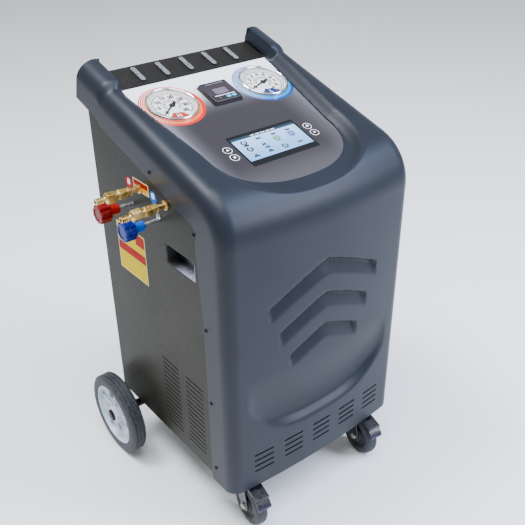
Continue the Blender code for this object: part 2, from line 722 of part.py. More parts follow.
def control_board():
    """Circuit board behind the display, with its relays and connectors."""
    top = -PANEL_SHEET - 2 * GAP - DISPLAY_BODY
    half = DISPLAY_LENGTH / 2
    tall = DISPLAY_TALL / 2
    board = boxes(((-half, -tall, top - BOARD_THICK), (half, tall, top)))
    made = add("control_board", board, ((0.02, 0.15, 0.06), 0.5), parent=PANEL)
    low = top - BOARD_THICK
    parts = []
    for i in range(5):
        x = half * (i / 3 - 0.85)
        parts.append(((x, -0.76 * tall, low - 7 * BOARD_THICK), (x + 0.22 * half, -0.39 * tall, low + BOARD_THICK / 2)))
    parts.append(((-0.62 * half, 0.26 * tall, low - 5 * BOARD_THICK), (0.62 * half, 0.57 * tall, low + BOARD_THICK / 2)))
    combine(made, cutter("board_parts", boxes(*parts), parent=PANEL), "UNION")


def printer():
    """Panel printer: body with its paper bay, hinged door, paper roll and two feed keys."""
    half = PRINTER_SIZE / 2
    inner = half - PRINTER_CHAMFER
    rings = [[(x, w, h) for x, w in rounded(half_a, half_a, 0.003, 2)]
             for half_a, h in ((half, GAP), (half, PRINTER_PROUD * 0.55), (inner, PRINTER_PROUD))]
    body = add("printer_body", loft(rings), ((0.02, 0.02, 0.025), 0.45), (0, PRINTER_W, 0), PANEL)
    under = PRINTER_BODY / 2
    shell = boxes(((-under, -under, -PRINTER_DEPTH), (under, under, 0.002)))
    combine(body, cutter("printer_shell", shell, (0, PRINTER_W, 0), PANEL), "UNION")
    strip = -half + PRINTER_STRIP
    door_half = inner - 0.0015
    door_low = PRINTER_PROUD - DOOR_THICK
    seat = boxes(((-door_half - GAP, strip, door_low - GAP), (door_half + GAP, inner - 0.001, 0.02)))
    combine(body, cutter("printer_door_seat", seat, (0, PRINTER_W, 0), PANEL))
    bay = boxes(((-ROLL_LENGTH / 2 - 0.0005, strip + 0.003, -PRINTER_DEPTH + 0.003),
                 (ROLL_LENGTH / 2 + 0.0005, strip + 0.0045 + 2 * ROLL_RADIUS, 0.018)))
    combine(body, cutter("printer_bay", bay, (0, PRINTER_W, 0), PANEL))
    reach = FEED_KEY_LENGTH / 2 + RUNNING_GAP
    wide = FEED_KEY_WIDTH / 2 + RUNNING_GAP
    row = -half + PRINTER_STRIP / 2 + 0.001
    holes = boxes(*[((x - reach, row - wide, PRINTER_PROUD - 0.004), (x + reach, row + wide, 0.02)) for x in FEED_KEY_X])
    combine(body, cutter("feed_key_holes", holes, (0, PRINTER_W, 0), PANEL))
    for name, x in zip(("printer_feed_key", "printer_select_key"), FEED_KEY_X):
        key = boxes(((-FEED_KEY_LENGTH / 2, -FEED_KEY_WIDTH / 2, PRINTER_PROUD - 0.002),
                     (FEED_KEY_LENGTH / 2, FEED_KEY_WIDTH / 2, PRINTER_PROUD + FEED_KEY_PROUD)))
        add(name, key, ((0.05, 0.35, 0.4), 0.4), (x, PRINTER_W + row, 0), PANEL)
    printer_door(door_half, strip, inner - 0.001, door_low)
    roll = turned([(ROLL_CORE, -ROLL_LENGTH / 2), (ROLL_RADIUS, -ROLL_LENGTH / 2), (ROLL_RADIUS, ROLL_LENGTH / 2),
                   (ROLL_CORE, ROLL_LENGTH / 2)], 24, "X")
    lift = -PRINTER_DEPTH + 0.003 + RUNNING_GAP + ROLL_RADIUS
    add("paper_roll", roll, ((0.85, 0.85, 0.83), 0.8), (0, PRINTER_W + strip + 0.00375 + ROLL_RADIUS, lift), PANEL)


def printer_door(half, front, rear, low):
    """Door over the paper bay, with its hinge line at its rear edge and a platen roller under its front."""
    hinge_w = rear - DOOR_HINGE_RADIUS - GAP
    hinge_h = low + DOOR_HINGE_RADIUS
    outline = [(front - hinge_w + GAP, 0.0), (-DOOR_HINGE_RADIUS, 0.0)]
    for i in range(5):
        angle = -math.pi / 2 + math.pi * i / 4
        outline.append((DOOR_HINGE_RADIUS * math.cos(angle), DOOR_HINGE_RADIUS * (1 + math.sin(angle))))
    outline = [(w, h - DOOR_HINGE_RADIUS) for w, h in outline]
    outline[-1] = (0.0, DOOR_THICK - DOOR_HINGE_RADIUS)
    outline.append((front - hinge_w + GAP, DOOR_THICK - DOOR_HINGE_RADIUS))
    add("printer_door", prism(outline, -half, half), ((0.06, 0.04, 0.06), 0.2), (0, PRINTER_W + hinge_w, hinge_h), PANEL)


# Cabinet
def side_outline(inset=0.0):
    """Outline (y, z) of a side panel."""
    def top(y):
        return PANEL_HEIGHT + y * math.tan(PANEL_SLOPE) - SIDE_TOP_DROP
    front = -SIDE_FRONT + inset
    back = BODY_BACK - inset
    low = CABINET_BOTTOM + inset
    brow = -SIDE_FRONT / 2
    return [(front, low), (back, low), (back, top(back) - inset), (brow, top(brow) - inset),
            (front, top(brow) - SIDE_FRONT / 2 - inset)]


def side_panel(side, sign):
    """Sheet side with folded lips at the bottom and the rear, louvres and a hole for the grip pocket."""
    outer = sign * HALF_BODY
    inner = sign * (HALF_BODY - SHEET)
    low_x, high_x = sorted((outer, inner))
    panel = add(f"{side}_side_panel", prism(side_outline(), low_x, high_x), ((0.035, 0.035, 0.032), 0.45))
    lip_inner = sign * (HALF_BODY - SIDE_LIP)
    near, far = sorted((outer - sign * SHEET / 2, lip_inner))
    rear_top = side_outline()[2][1]
    lips = boxes(((near, BODY_BACK - SHEET, CABINET_BOTTOM + 0.03), (far, BODY_BACK, rear_top - 0.004)))
    combine(panel, cutter(f"{side}_lips", lips), "UNION")
    slots = []
    for y in LOUVRE_COLUMNS:
        for row in range(LOUVRE_ROWS):
            z = LOUVRE_TOP - row * LOUVRE_PITCH
            slots.append(((low_x - 0.01, y - LOUVRE_LENGTH / 2, z - LOUVRE_HEIGHT / 2),
                          (high_x + 0.01, y + LOUVRE_LENGTH / 2, z + LOUVRE_HEIGHT / 2)))
    half_long = POCKET_LENGTH / 2 + GAP
    half_tall = POCKET_TALL / 2 + GAP
    slots.append(((low_x - 0.01, POCKET_Y - half_long, POCKET_HEIGHT - half_tall),
                  (high_x + 0.01, POCKET_Y + half_long, POCKET_HEIGHT + half_tall)))
    combine(panel, cutter(f"{side}_slots", boxes(*slots)))
    if side == "left":
        for port_y in (LOW_PORT_Y, HIGH_PORT_Y):
            for y, z, radius in ((port_y, PORT_HEIGHT, PORT_SHANK_RADIUS),
                                 (port_y + KNOB_BEHIND, KNOB_HEIGHT, KNOB_STEM_RADIUS)):
                hole = turned([(0, -0.01), (radius + GAP, -0.01), (radius + GAP, 0.01), (0, 0.01)], 12, "X")
                combine(panel, cutter(f"side_hole_{y:.3f}_{z:.3f}", hole, (outer, y, z)))


def grip_pocket(side, sign):
    """Moulded pocket behind the side panel, open outwards, with a rim that it is bonded by."""
    half_long = POCKET_LENGTH / 2
    half_tall = POCKET_TALL / 2
    face = sign * (HALF_BODY - SHEET / 2)
    bottom = sign * (HALF_BODY - POCKET_DEPTH)
    low_x, high_x = sorted((face, bottom))
    pocket = boxes(((low_x, -half_long, -half_tall), (high_x, half_long, half_tall)))
    made = add(f"{side}_grip_pocket", pocket, ((0.02, 0.02, 0.02), 0.5), (0, POCKET_Y, POCKET_HEIGHT))
    rim_outer = sign * (HALF_BODY - SHEET - GAP)
    low_x, high_x = sorted((rim_outer, rim_outer - sign * POCKET_WALL))
    rim = boxes(((low_x, -half_long - POCKET_RIM, -half_tall - POCKET_RIM),
                 (high_x, half_long + POCKET_RIM, half_tall + POCKET_RIM)))
    combine(made, cutter(f"{side}_pocket_rim", rim, (0, POCKET_Y, POCKET_HEIGHT)), "UNION")
    low_x, high_x = sorted((sign * (HALF_BODY + 0.01), bottom + sign * POCKET_WALL))
    half_long -= POCKET_WALL
    half_tall -= POCKET_WALL
    hollow = boxes(((low_x, -half_long, -half_tall), (high_x, half_long, half_tall)))
    combine(made, cutter(f"{side}_pocket_hollow", hollow, (0, POCKET_Y, POCKET_HEIGHT)))


def back_panel():
    """Sheet back with folded lips all round, an inlet cut-out and holes for the handle's screws."""
    half = HALF_BODY - SIDE_LIP - GAP
    lip_half = HALF_BODY - SHEET - GAP
    outer = BODY_BACK - SHEET - GAP
    low = FLOOR_TOP + BASE_RIM
    shell = boxes(((-lip_half, outer - BACK_LIP, low), (lip_half, outer, BACK_TOP)))
    panel = add("back_panel", shell, ((0.035, 0.035, 0.032), 0.45))
    hollow = boxes(((-lip_half + SHEET, outer - 2 * BACK_LIP, low + SHEET),
                    (lip_half - SHEET, outer - SHEET, BACK_TOP - SHEET)))
    combine(panel, cutter("back_hollow", hollow))
    plate = boxes(((-half, outer - SHEET / 2, low), (half, BODY_BACK, BACK_TOP)))
    combine(panel, cutter("back_plate", plate), "UNION")
    wide = INLET_BODY_WIDTH / 2 + GAP
    tall = INLET_BODY_TALL / 2 + GAP
    hole = boxes(((INLET_X - wide, outer - BACK_LIP / 2, INLET_HEIGHT - tall),
                  (INLET_X + wide, BODY_BACK + 0.01, INLET_HEIGHT + tall)))
    combine(panel, cutter("inlet_hole", hole))


def rear_tray():
    """Ribbed tray between the cheeks, with a skirt that closes the gap down to the back panel."""
    half = PANEL_HALF_REAR + CHEEK_FLARE - GAP
    front = crest(PANEL_REAR + GAP, 0)
    under = crest(PANEL_REAR + GAP, -TRAY_WALL)
    rear = crest(PANEL_REAR + TRAY_LENGTH, 0)
    drop = TRAY_WALL / SLOPE_COS
    foot = BODY_BACK + GAP
    skirt_low = BACK_TOP - 0.006
    inner_y = rear.x - TRAY_WALL
    inner_z = rear.y - drop - TRAY_WALL * math.tan(PANEL_SLOPE)
    outline = [(front.x, front.y), (rear.x, rear.y), (rear.x, skirt_low), (foot, skirt_low),
               (foot, skirt_low + TRAY_WALL), (inner_y, skirt_low + TRAY_WALL), (inner_y, inner_z),
               (under.x, under.y)]
    tray = add("rear_tray", prism(outline, -half, half), ((0.035, 0.033, 0.028), 0.5))
    middle = PANEL_REAR + TRAY_LENGTH / 2 + 0.002
    ribs = bmesh.new()
    for i in range(TRAY_RIBS):
        x = (i - (TRAY_RIBS - 1) / 2) * TRAY_RIB_PITCH
        box(ribs, (x - TRAY_RIB_WIDTH / 2, middle - TRAY_RIB_LENGTH / 2, -TRAY_WALL / 2),
            (x + TRAY_RIB_WIDTH / 2, middle + TRAY_RIB_LENGTH / 2, TRAY_RIB_HEIGHT))
    combine(tray, cutter("tray_ribs", ribs, parent=PANEL), "UNION")


def base_frame():
    """Folded base tray with two saddles welded under it for the axle."""
    half = HALF_BODY - SHEET - GAP
    back = BODY_BACK - SHEET - GAP
    front = [(half, -BASE_FRONT + BASE_CHAMFER), (half - BASE_CHAMFER * 0.7, -BASE_FRONT + BASE_CHAMFER * 0.32),
             (half - 2.3 * BASE_CHAMFER, -BASE_FRONT)]
    outline = [(-x, y) for x, y in front] + [(x, y) for x, y in reversed(front)] + [(half, back), (-half, back)]
    top = FLOOR_TOP + BASE_RIM - GAP
    base = add("base_frame", prism(outline, CABINET_BOTTOM, top, "Z"), ((0.03, 0.03, 0.03), 0.5))
    centre_y = (back - BASE_FRONT) / 2
    share_x = (half - BASE_WALL) / half
    share_y = ((back + BASE_FRONT) / 2 - BASE_WALL) / ((back + BASE_FRONT) / 2)
    inner = [(x * share_x, centre_y + (y - centre_y) * share_y) for x, y in outline]
    combine(base, cutter("base_hollow", prism(inner, FLOOR_TOP, top + 0.02, "Z")))
    saddles = bmesh.new()
    low = WHEEL_RADIUS - SADDLE_HALF * 0.85
    for sign in (-1, 1):
        box(saddles, (sign * SADDLE_X - SADDLE_THICK / 2, AXLE_Y - SADDLE_HALF, low),
            (sign * SADDLE_X + SADDLE_THICK / 2, AXLE_Y + SADDLE_HALF, CABINET_BOTTOM + BASE_FLOOR / 2))
    combine(base, cutter("axle_saddles", saddles), "UNION")
    bore = turned([(0, -HALF_BODY), (AXLE_RADIUS + GAP, -HALF_BODY), (AXLE_RADIUS + GAP, HALF_BODY), (0, HALF_BODY)],
                  24, "X")
    combine(base, cutter("axle_bore", bore, (0, AXLE_Y, WHEEL_RADIUS)))


# Running gear
def rear_axle():
    """Fixed axle with its end caps, which keep the wheels on."""
    end = WHEEL_INNER + WHEEL_WIDTH + RUNNING_GAP
    shoulder = WHEEL_INNER - RUNNING_GAP
    collar = AXLE_RADIUS + 0.004
    profile = [(0, -end - AXLE_CAP), (AXLE_CAP_RADIUS * 0.8, -end - AXLE_CAP), (AXLE_CAP_RADIUS, -end),
               (AXLE_RADIUS, -end), (AXLE_RADIUS, -shoulder), (collar, -shoulder),
               (collar, -shoulder + 0.006), (AXLE_RADIUS, -shoulder + 0.006)]
    profile = profile + [(radius, -x) for radius, x in reversed(profile)]
    axle = turned(profile, 12, "X")
    add("rear_axle", axle, ((0.3, 0.3, 0.3), 0.35, 1.0), (0, AXLE_Y, WHEEL_RADIUS), smooth=40)


def rear_wheel(side, sign):
    """Wheel: a moulded hub with a web and holes, and the tyre that sits on it."""
    place = (sign * (WHEEL_INNER + WHEEL_WIDTH / 2), AXLE_Y, WHEEL_RADIUS)
    half = WHEEL_WIDTH / 2
    bore = AXLE_RADIUS + RUNNING_GAP
    rim_inner = HUB_RADIUS - 0.005
    profile = [(bore, -half), (HUB_BOSS_RADIUS, -half), (HUB_BOSS_RADIUS + 0.002, -HUB_WEB / 2),
               (rim_inner, -HUB_WEB / 2), (HUB_RADIUS, -half + 0.002)]
    profile = profile + [(radius, -x) for radius, x in reversed(profile)]
    hub = add(f"rear_hub_{side}", turned(profile, WHEEL_SIDES, "X"), ((0.6, 0.65, 0.7), 0.4), place, smooth=40)
    ring = (HUB_BOSS_RADIUS + rim_inner) / 2
    holes = bmesh.new()
    for i in range(HUB_HOLES):
        angle = 2 * math.pi * i / HUB_HOLES
        spot = Matrix.Translation((0, ring * math.cos(angle), ring * math.sin(angle))) @ Matrix.Rotation(
            math.pi / 2, 4, "Y")
        bmesh.ops.create_cone(holes, cap_ends=True, segments=7, radius1=HUB_HOLE_RADIUS, radius2=HUB_HOLE_RADIUS,
                              depth=WHEEL_WIDTH, matrix=spot)
    combine(hub, cutter(f"hub_holes_{side}", holes, place))
    seat = HUB_RADIUS + GAP
    tread = [(WHEEL_RADIUS, -half * 0.72), (WHEEL_RADIUS, -half * 0.20), (WHEEL_RADIUS - 0.003, 0.0),
             (WHEEL_RADIUS, half * 0.20), (WHEEL_RADIUS, half * 0.72)]
    tyre = [(seat, -half), (WHEEL_RADIUS - 0.008, -half)] + tread + [(WHEEL_RADIUS - 0.008, half), (seat, half)]
    add(f"rear_tyre_{side}", turned(tyre, WHEEL_SIDES, "X"), ((0.03, 0.03, 0.03), 0.7), place, smooth=40)


def castor(side, sign):
    """Swivel castor: fixed plate with its race, fork with its pins, wheel and brake pedal."""
    top = CASTOR_SPACE
    plate_low = top - CASTOR_PLATE
    race_low = plate_low - CASTOR_RACE
    place = (sign * CASTOR_X, CASTOR_Y, 0)
    swivel = empty(f"castor_{side}_swivel", place, STATION)
    swivel.rotation_euler.z = CASTOR_TURN
    outline = rounded(CASTOR_PLATE_WIDTH / 2, CASTOR_PLATE_LENGTH / 2, 0.006, 1)
    plate = add(f"castor_plate_{side}", prism(outline, plate_low, top, "Z"), ((0.02, 0.02, 0.02), 0.45), place)
    race = [(0, race_low), (CASTOR_RACE_RADIUS, race_low), (CASTOR_RACE_RADIUS, plate_low + CASTOR_PLATE / 2),
            (0, plate_low + CASTOR_PLATE / 2)]
    combine(plate, cutter(f"castor_race_{side}", turned(race, 16), place), "UNION")
    bore_radius = CASTOR_KINGPIN + RUNNING_GAP
    bore = [(0, race_low - 0.01), (bore_radius, race_low - 0.01), (bore_radius, plate_low), (0, plate_low)]
    combine(plate, cutter(f"castor_bore_{side}", turned(bore, 12), place))
    castor_fork(side, swivel, race_low - RUNNING_GAP, plate_low)
    axle = (0, -CASTOR_TRAIL, CASTOR_RADIUS)
    half = CASTOR_WIDTH / 2
    bore_radius = FORK_PIN_RADIUS + RUNNING_GAP
    rim = CASTOR_RADIUS
    wheel = [(bore_radius, -half), (0.015, -half), (rim - 0.017, -half + 0.005), (rim - 0.015, -half + 0.001),
             (rim - 0.006, -half + 0.001), (rim, -half * 0.55)]
    wheel = wheel + [(radius, -x) for radius, x in reversed(wheel)]
    add(f"castor_wheel_{side}", turned(wheel, 20, "X"), ((0.02, 0.02, 0.02), 0.6), axle, swivel, 40)
    brake_pedal(side, swivel, race_low - RUNNING_GAP - PEDAL_DROP)


def castor_fork(side, swivel, crown_top, pin_top):
    """Pressed fork: crown, two legs, kingpin and wheel bolt."""
    crown_low = crown_top - FORK_SHEET
    inner = CASTOR_WIDTH / 2 + FORK_SIDE_GAP
    outer = inner + FORK_SHEET
    pivot_y = -PEDAL_AHEAD
    leg = []
    for i in range(5):
        angle = math.pi * (1 + i / 4)
        leg.append((-CASTOR_TRAIL + FORK_EAR_RADIUS * math.cos(angle), CASTOR_RADIUS + FORK_EAR_RADIUS * math.sin(angle)))
    leg += [(CASTOR_RACE_RADIUS, crown_low - 0.012), (CASTOR_RACE_RADIUS, crown_top), (pivot_y - 0.010, crown_top),
            (pivot_y - 0.013, crown_top - PEDAL_DROP - 0.006)]
    fork = add(f"castor_fork_{side}", prism(leg, -outer, outer), ((0.02, 0.02, 0.02), 0.4), parent=swivel)
    space = boxes(((-inner, -0.2, -0.01), (inner, 0.2, crown_low)))
    combine(fork, cutter(f"fork_space_{side}", space, parent=swivel))
    head = outer + 0.005
    bolt = [(0, -head), (0.0075, -head), (0.0075, -outer + 0.0005), (FORK_PIN_RADIUS, -outer + 0.0005),
            (FORK_PIN_RADIUS, outer - 0.0005), (0.0075, outer - 0.0005), (0.0075, head), (0, head)]
    bolt_place = (0, -CASTOR_TRAIL, CASTOR_RADIUS)
    combine(fork, cutter(f"fork_bolt_{side}", turned(bolt, 10, "X"), bolt_place, swivel), "UNION")
    pin = [(0, crown_low + 0.001), (CASTOR_KINGPIN, crown_low + 0.001), (CASTOR_KINGPIN, pin_top - RUNNING_GAP),
           (0, pin_top - RUNNING_GAP)]
    combine(fork, cutter(f"fork_kingpin_{side}", turned(pin, 12), parent=swivel), "UNION")


def brake_pedal(side, swivel, height):
    """Brake pedal between the fork's legs: a round boss, a tread and a release lobe before the tyre."""
    half = CASTOR_WIDTH / 2 + FORK_SIDE_GAP - RUNNING_GAP
    wheel = Vector((PEDAL_AHEAD - CASTOR_TRAIL, CASTOR_RADIUS - height))
    boss = [(PEDAL_BOSS * math.cos(a), PEDAL_BOSS * math.sin(a)) for a in [math.pi * (-0.5 + i / 6) for i in range(7)]]
    near = CASTOR_RADIUS + LOBE_CLEARANCE
    low, high = LOBE_ANGLES
    arc = [(near, high), (near, (low + high) / 2), (near, low), (near + LOBE_THICK * 0.5, low - 0.06),
           (near + LOBE_THICK, low + 0.04), (near + LOBE_THICK, (low + high) / 2), (near + LOBE_THICK * 0.6, high)]
    lobe = [(wheel.x - radius * math.cos(angle), wheel.y + radius * math.sin(angle)) for radius, angle in arc]
    tread = [(-PEDAL_REACH, -PEDAL_FALL - 0.002), (-PEDAL_REACH - 0.002, -PEDAL_FALL + 0.001),
             (-PEDAL_REACH * 0.6, PEDAL_BOSS - 0.004)]
    blade = boss + list(reversed(tread)) + list(reversed(lobe)) + [(-PEDAL_REACH * 0.30, -PEDAL_BOSS - 0.001)]
    add(f"castor_brake_{side}", prism(blade, -half, half), ((0.03, 0.03, 0.06), 0.5), (0, -PEDAL_AHEAD, height), swivel)


# Left side: service ports and shut-off knobs
def service_manifold():
    """Valve block behind the left side panel, with a stem for each shut-off knob."""
    inner = -(HALF_BODY - SHEET - GAP)
    low_y = LOW_PORT_Y - MANIFOLD_MARGIN
    high_y = HIGH_PORT_Y + KNOB_BEHIND + MANIFOLD_MARGIN
    block = boxes(((inner, low_y, KNOB_HEIGHT - MANIFOLD_MARGIN),
                   (inner + MANIFOLD_DEPTH, high_y, PORT_HEIGHT + MANIFOLD_MARGIN)))
    made = add("service_manifold", block, ((0.5, 0.5, 0.5), 0.4, 1.0))
    reach = HALF_BODY + KNOB_STEM_REACH - 0.006
    for port_y in (LOW_PORT_Y, HIGH_PORT_Y):
        stem = turned([(0, inner + 0.005), (KNOB_STEM_RADIUS, inner + 0.005), (KNOB_STEM_RADIUS, -reach), (0, -reach)],
                      12, "X")
        combine(made, cutter(f"stem_{port_y:.3f}", stem, (0, port_y + KNOB_BEHIND, KNOB_HEIGHT)), "UNION")
    coils = bmesh.new()
    for i in range(4):
        y = low_y + 0.014 + i * (high_y - low_y - 0.046) / 3
        box(coils, (inner + MANIFOLD_DEPTH - 0.001, y, PORT_HEIGHT - 0.012),
            (inner + MANIFOLD_DEPTH + 0.030, y + 0.022, PORT_HEIGHT + 0.012))
    combine(made, cutter("solenoid_coils", coils), "UNION")


def service_port(tag, y):
    """Brass union through the side panel: shank, washer, hexagon, collar and hose end."""
    inner = SHEET
    end = PORT_REACH
    shaft = [(0, -inner), (PORT_SHANK_RADIUS, -inner), (PORT_SHANK_RADIUS, GAP), (PORT_HEX_RADIUS, GAP),
             (PORT_HEX_RADIUS, 0.0035), (PORT_SHANK_RADIUS, 0.0045), (PORT_SHANK_RADIUS, 0.018),
             (PORT_HEX_RADIUS - 0.001, 0.020), (PORT_HEX_RADIUS - 0.001, 0.050), (PORT_COLLAR_RADIUS, 0.053),
             (PORT_COLLAR_RADIUS, 0.072), (PORT_SHANK_RADIUS, 0.076), (PORT_SHANK_RADIUS, end), (0, end)]
    made = add(f"{tag}_service_port", turned(shaft, 12, "-X"), ((0.7, 0.5, 0.2), 0.3, 1.0),
               (-HALF_BODY, y, PORT_HEIGHT), smooth=40)
    size = PORT_HEX_RADIUS + 0.0010
    hexagon = turned([(0, 0.024), (size, 0.024), (size, 0.046), (0, 0.046)], 6, "-X")
    combine(made, cutter(f"{tag}_port_hexagon", hexagon, (-HALF_BODY, y, PORT_HEIGHT)), "UNION")


def shutoff_knob(tag, port_y, colour):
    """Ribbed knob with its neck, bored for the manifold's stem."""
    start = KNOB_NECK_START
    shoulder = start + KNOB_NECK_LENGTH
    end = shoulder + KNOB_LENGTH
    outline = []
    for i in range(KNOB_RIBS * 4):
        radius = KNOB_RADIUS if i % 4 < 2 else KNOB_RADIUS - 0.0018
        angle = 2 * math.pi * (i + (0.0, 0.35, 0.0, 0.35)[i % 4]) / (KNOB_RIBS * 4)
        outline.append((radius * math.cos(angle), radius * math.sin(angle)))
    knob = prism(outline, -end, -shoulder)
    place = (-HALF_BODY, port_y + KNOB_BEHIND, KNOB_HEIGHT)
    made = add(f"{tag}_shutoff_knob", knob, (colour, 0.35), place)
    neck = turned([(0, start), (KNOB_NECK_RADIUS - 0.002, start), (KNOB_NECK_RADIUS, start + 0.004),
                   (KNOB_NECK_RADIUS, shoulder - 0.004), (KNOB_NECK_RADIUS + 0.004, shoulder + 0.001),
                   (0, shoulder + 0.001)], 12, "-X")
    combine(made, cutter(f"{tag}_knob_neck", neck, place), "UNION")
    radius = KNOB_STEM_RADIUS + RUNNING_GAP
    bore = turned([(0, start - 0.01), (radius, start - 0.01), (radius, KNOB_STEM_REACH), (0, KNOB_STEM_REACH)], 12, "-X")
    combine(made, cutter(f"{tag}_knob_bore", bore, place))


# Back: push handle, power inlet and switch
def push_handle():
    """Bent tube with a screw flange at each end."""
    foot = BODY_BACK + GAP
    bend = HANDLE_REACH * 0.55
    path = [(-HANDLE_HALF, foot + 0.001)]
    corner_y = foot + HANDLE_REACH
    for i in range(5):
        angle = math.pi / 2 * i / 4
        path.append((-HANDLE_HALF + bend - bend * math.cos(angle), corner_y - bend + bend * math.sin(angle)))
    path = path + [(-x, y) for x, y in reversed(path)]
    rings = []
    for i, (x, y) in enumerate(path):
        before = Vector(path[max(i - 1, 0)])
        after = Vector(path[min(i + 1, len(path) - 1)])
        along = (after - before).normalized()
        across = Vector((-along.y, along.x))
        ring = []
        for k in range(10):
            angle = 2 * math.pi * k / 10
            offset = across * HANDLE_RADIUS * math.cos(angle)
            ring.append((x + offset.x, y + offset.y, HANDLE_HEIGHT + HANDLE_RADIUS * math.sin(angle)))
        rings.append(ring)
    rings[0] = [(x, foot + 0.001, z) for x, y, z in rings[0]]
    rings[-1] = [(x, foot + 0.001, z) for x, y, z in rings[-1]]
    handle = add("push_handle", loft(rings), ((0.02, 0.02, 0.02), 0.4), smooth=40)
    for sign in (-1, 1):
        flange = turned([(0, 0), (HANDLE_FLANGE_RADIUS, 0), (HANDLE_FLANGE_RADIUS, HANDLE_FLANGE), (0, HANDLE_FLANGE)],
                        14, "Y")
        place = (sign * HANDLE_HALF, foot, HANDLE_HEIGHT)
        combine(handle, cutter(f"handle_flange_{sign}", flange, place), "UNION")


def power_inlet():
    """Inlet module: flange, body, the socket for a mains lead and the well for the rocker."""
    foot = BODY_BACK + GAP
    wide = INLET_FLANGE_WIDTH / 2
    tall = INLET_FLANGE_TALL / 2
    place = (INLET_X, foot, INLET_HEIGHT)
    outline = [(x, z) for x, z in rounded(wide, tall, 0.004, 2)]
    inlet = add("power_inlet", prism(outline, 0.0, INLET_FLANGE, "Y"), ((0.02, 0.02, 0.02), 0.5), place)
    wide = INLET_BODY_WIDTH / 2
    tall = INLET_BODY_TALL / 2
    body = boxes(((-wide, -INLET_BODY_DEPTH, -tall), (wide, INLET_FLANGE / 2, tall)))
    combine(inlet, cutter("inlet_body", body, place), "UNION")
    low = -INLET_BODY_TALL / 4
    high = INLET_BODY_TALL / 4 + 0.001
    rocker_wide = ROCKER_WIDTH / 2 + RUNNING_GAP
    rocker_tall = ROCKER_TALL / 2 + 2 * RUNNING_GAP
    wells = boxes(((-SOCKET_WIDTH / 2, INLET_FLANGE - SOCKET_DEPTH, low - SOCKET_TALL / 2),
                   (SOCKET_WIDTH / 2, 0.02, low + SOCKET_TALL / 2)),
                  ((-rocker_wide, INLET_FLANGE - 0.009, high - rocker_tall), (rocker_wide, 0.02, high + rocker_tall)))
    combine(inlet, cutter("inlet_wells", wells, place))
    pins = boxes(*[((x - 0.001, INLET_FLANGE - SOCKET_DEPTH - 0.001, low - 0.002 + rise),
                    (x + 0.001, INLET_FLANGE - 0.003, low + 0.002 + rise))
                   for x, rise in ((-0.007, -0.002), (0.0, 0.002), (0.007, -0.002))])
    combine(inlet, cutter("inlet_pins", pins, place), "UNION")
    rocker = [(0.0015, -ROCKER_TALL / 2), (0.0030, 0.0), (0.0015, ROCKER_TALL / 2), (-0.0045, ROCKER_TALL / 2 - 0.002),
              (-0.0062, 0.0), (-0.0045, -ROCKER_TALL / 2 + 0.002)]
    made = add("power_rocker", prism(rocker, -ROCKER_WIDTH / 2, ROCKER_WIDTH / 2), ((0.25, 0.01, 0.01), 0.3),
               (INLET_X, foot + INLET_FLANGE - 0.0008, INLET_HEIGHT + high))
    made.rotation_euler.x = ROCKER_TILT


# Refrigerant circuit inside the cabinet
def tank_and_scale():
    """Refrigerant tank on its weighing platform."""
    low = FLOOR_TOP + GAP
    half = SCALE_SIZE / 2
    top = low + SCALE_HEIGHT
    scale = boxes(((-half, -half, top - SCALE_PLATE), (half, half, top)))
    made = add("tank_scale", scale, ((0.4, 0.4, 0.42), 0.4, 1.0), (TANK_X, TANK_Y, 0))
    foot = boxes(((-half * 0.9, -0.03, low), (half * 0.9, 0.03, low + SCALE_PLATE)))
    combine(made, cutter("scale_foot", foot, (TANK_X, TANK_Y, 0)), "UNION")
    cell = boxes(((-0.02, -0.02, low + SCALE_PLATE / 2), (0.02, 0.02, top - SCALE_PLATE / 2)))
    combine(made, cutter("scale_cell", cell, (TANK_X, TANK_Y, 0)), "UNION")
    base = top + GAP
    r = TANK_RADIUS
    profile = [(0, base), (r * 0.84, base), (r * 0.84, base + 0.020), (r, base + 0.060),
               (r, base + TANK_HEIGHT * 0.78), (r * 0.92, base + TANK_HEIGHT * 0.85),
               (r * 0.66, base + TANK_HEIGHT * 0.90), (r * 0.66, base + TANK_HEIGHT), (r * 0.63, base + TANK_HEIGHT),
               (r * 0.63, base + TANK_HEIGHT * 0.91), (0, base + TANK_HEIGHT * 0.93)]
    add("refrigerant_tank", turned(profile, 18), ((0.05, 0.12, 0.3), 0.4), (TANK_X, TANK_Y, 0), smooth=40)


def compressor():
    """Hermetic compressor on its foot plate."""
    low = FLOOR_TOP + GAP
    r = COMPRESSOR_RADIUS
    foot = 0.005
    outline = rounded(r * 1.08, r * 1.08, 0.015, 3)
    made = add("compressor", prism(outline, low, low + foot, "Z"), ((0.01, 0.01, 0.01), 0.4),
               (COMPRESSOR_X, COMPRESSOR_Y, 0))
    h = COMPRESSOR_HEIGHT
    can = [(0, low + foot / 2), (r * 0.85, low + foot / 2), (r, low + h * 0.15), (r, low + h * 0.52),
           (r * 1.04, low + h * 0.53), (r * 1.04, low + h * 0.57), (r, low + h * 0.58), (r, low + h * 0.82),
           (r * 0.7, low + h), (0, low + h)]
    combine(made, cutter("compressor_can", turned(can, 14), (COMPRESSOR_X, COMPRESSOR_Y, 0)), "UNION")


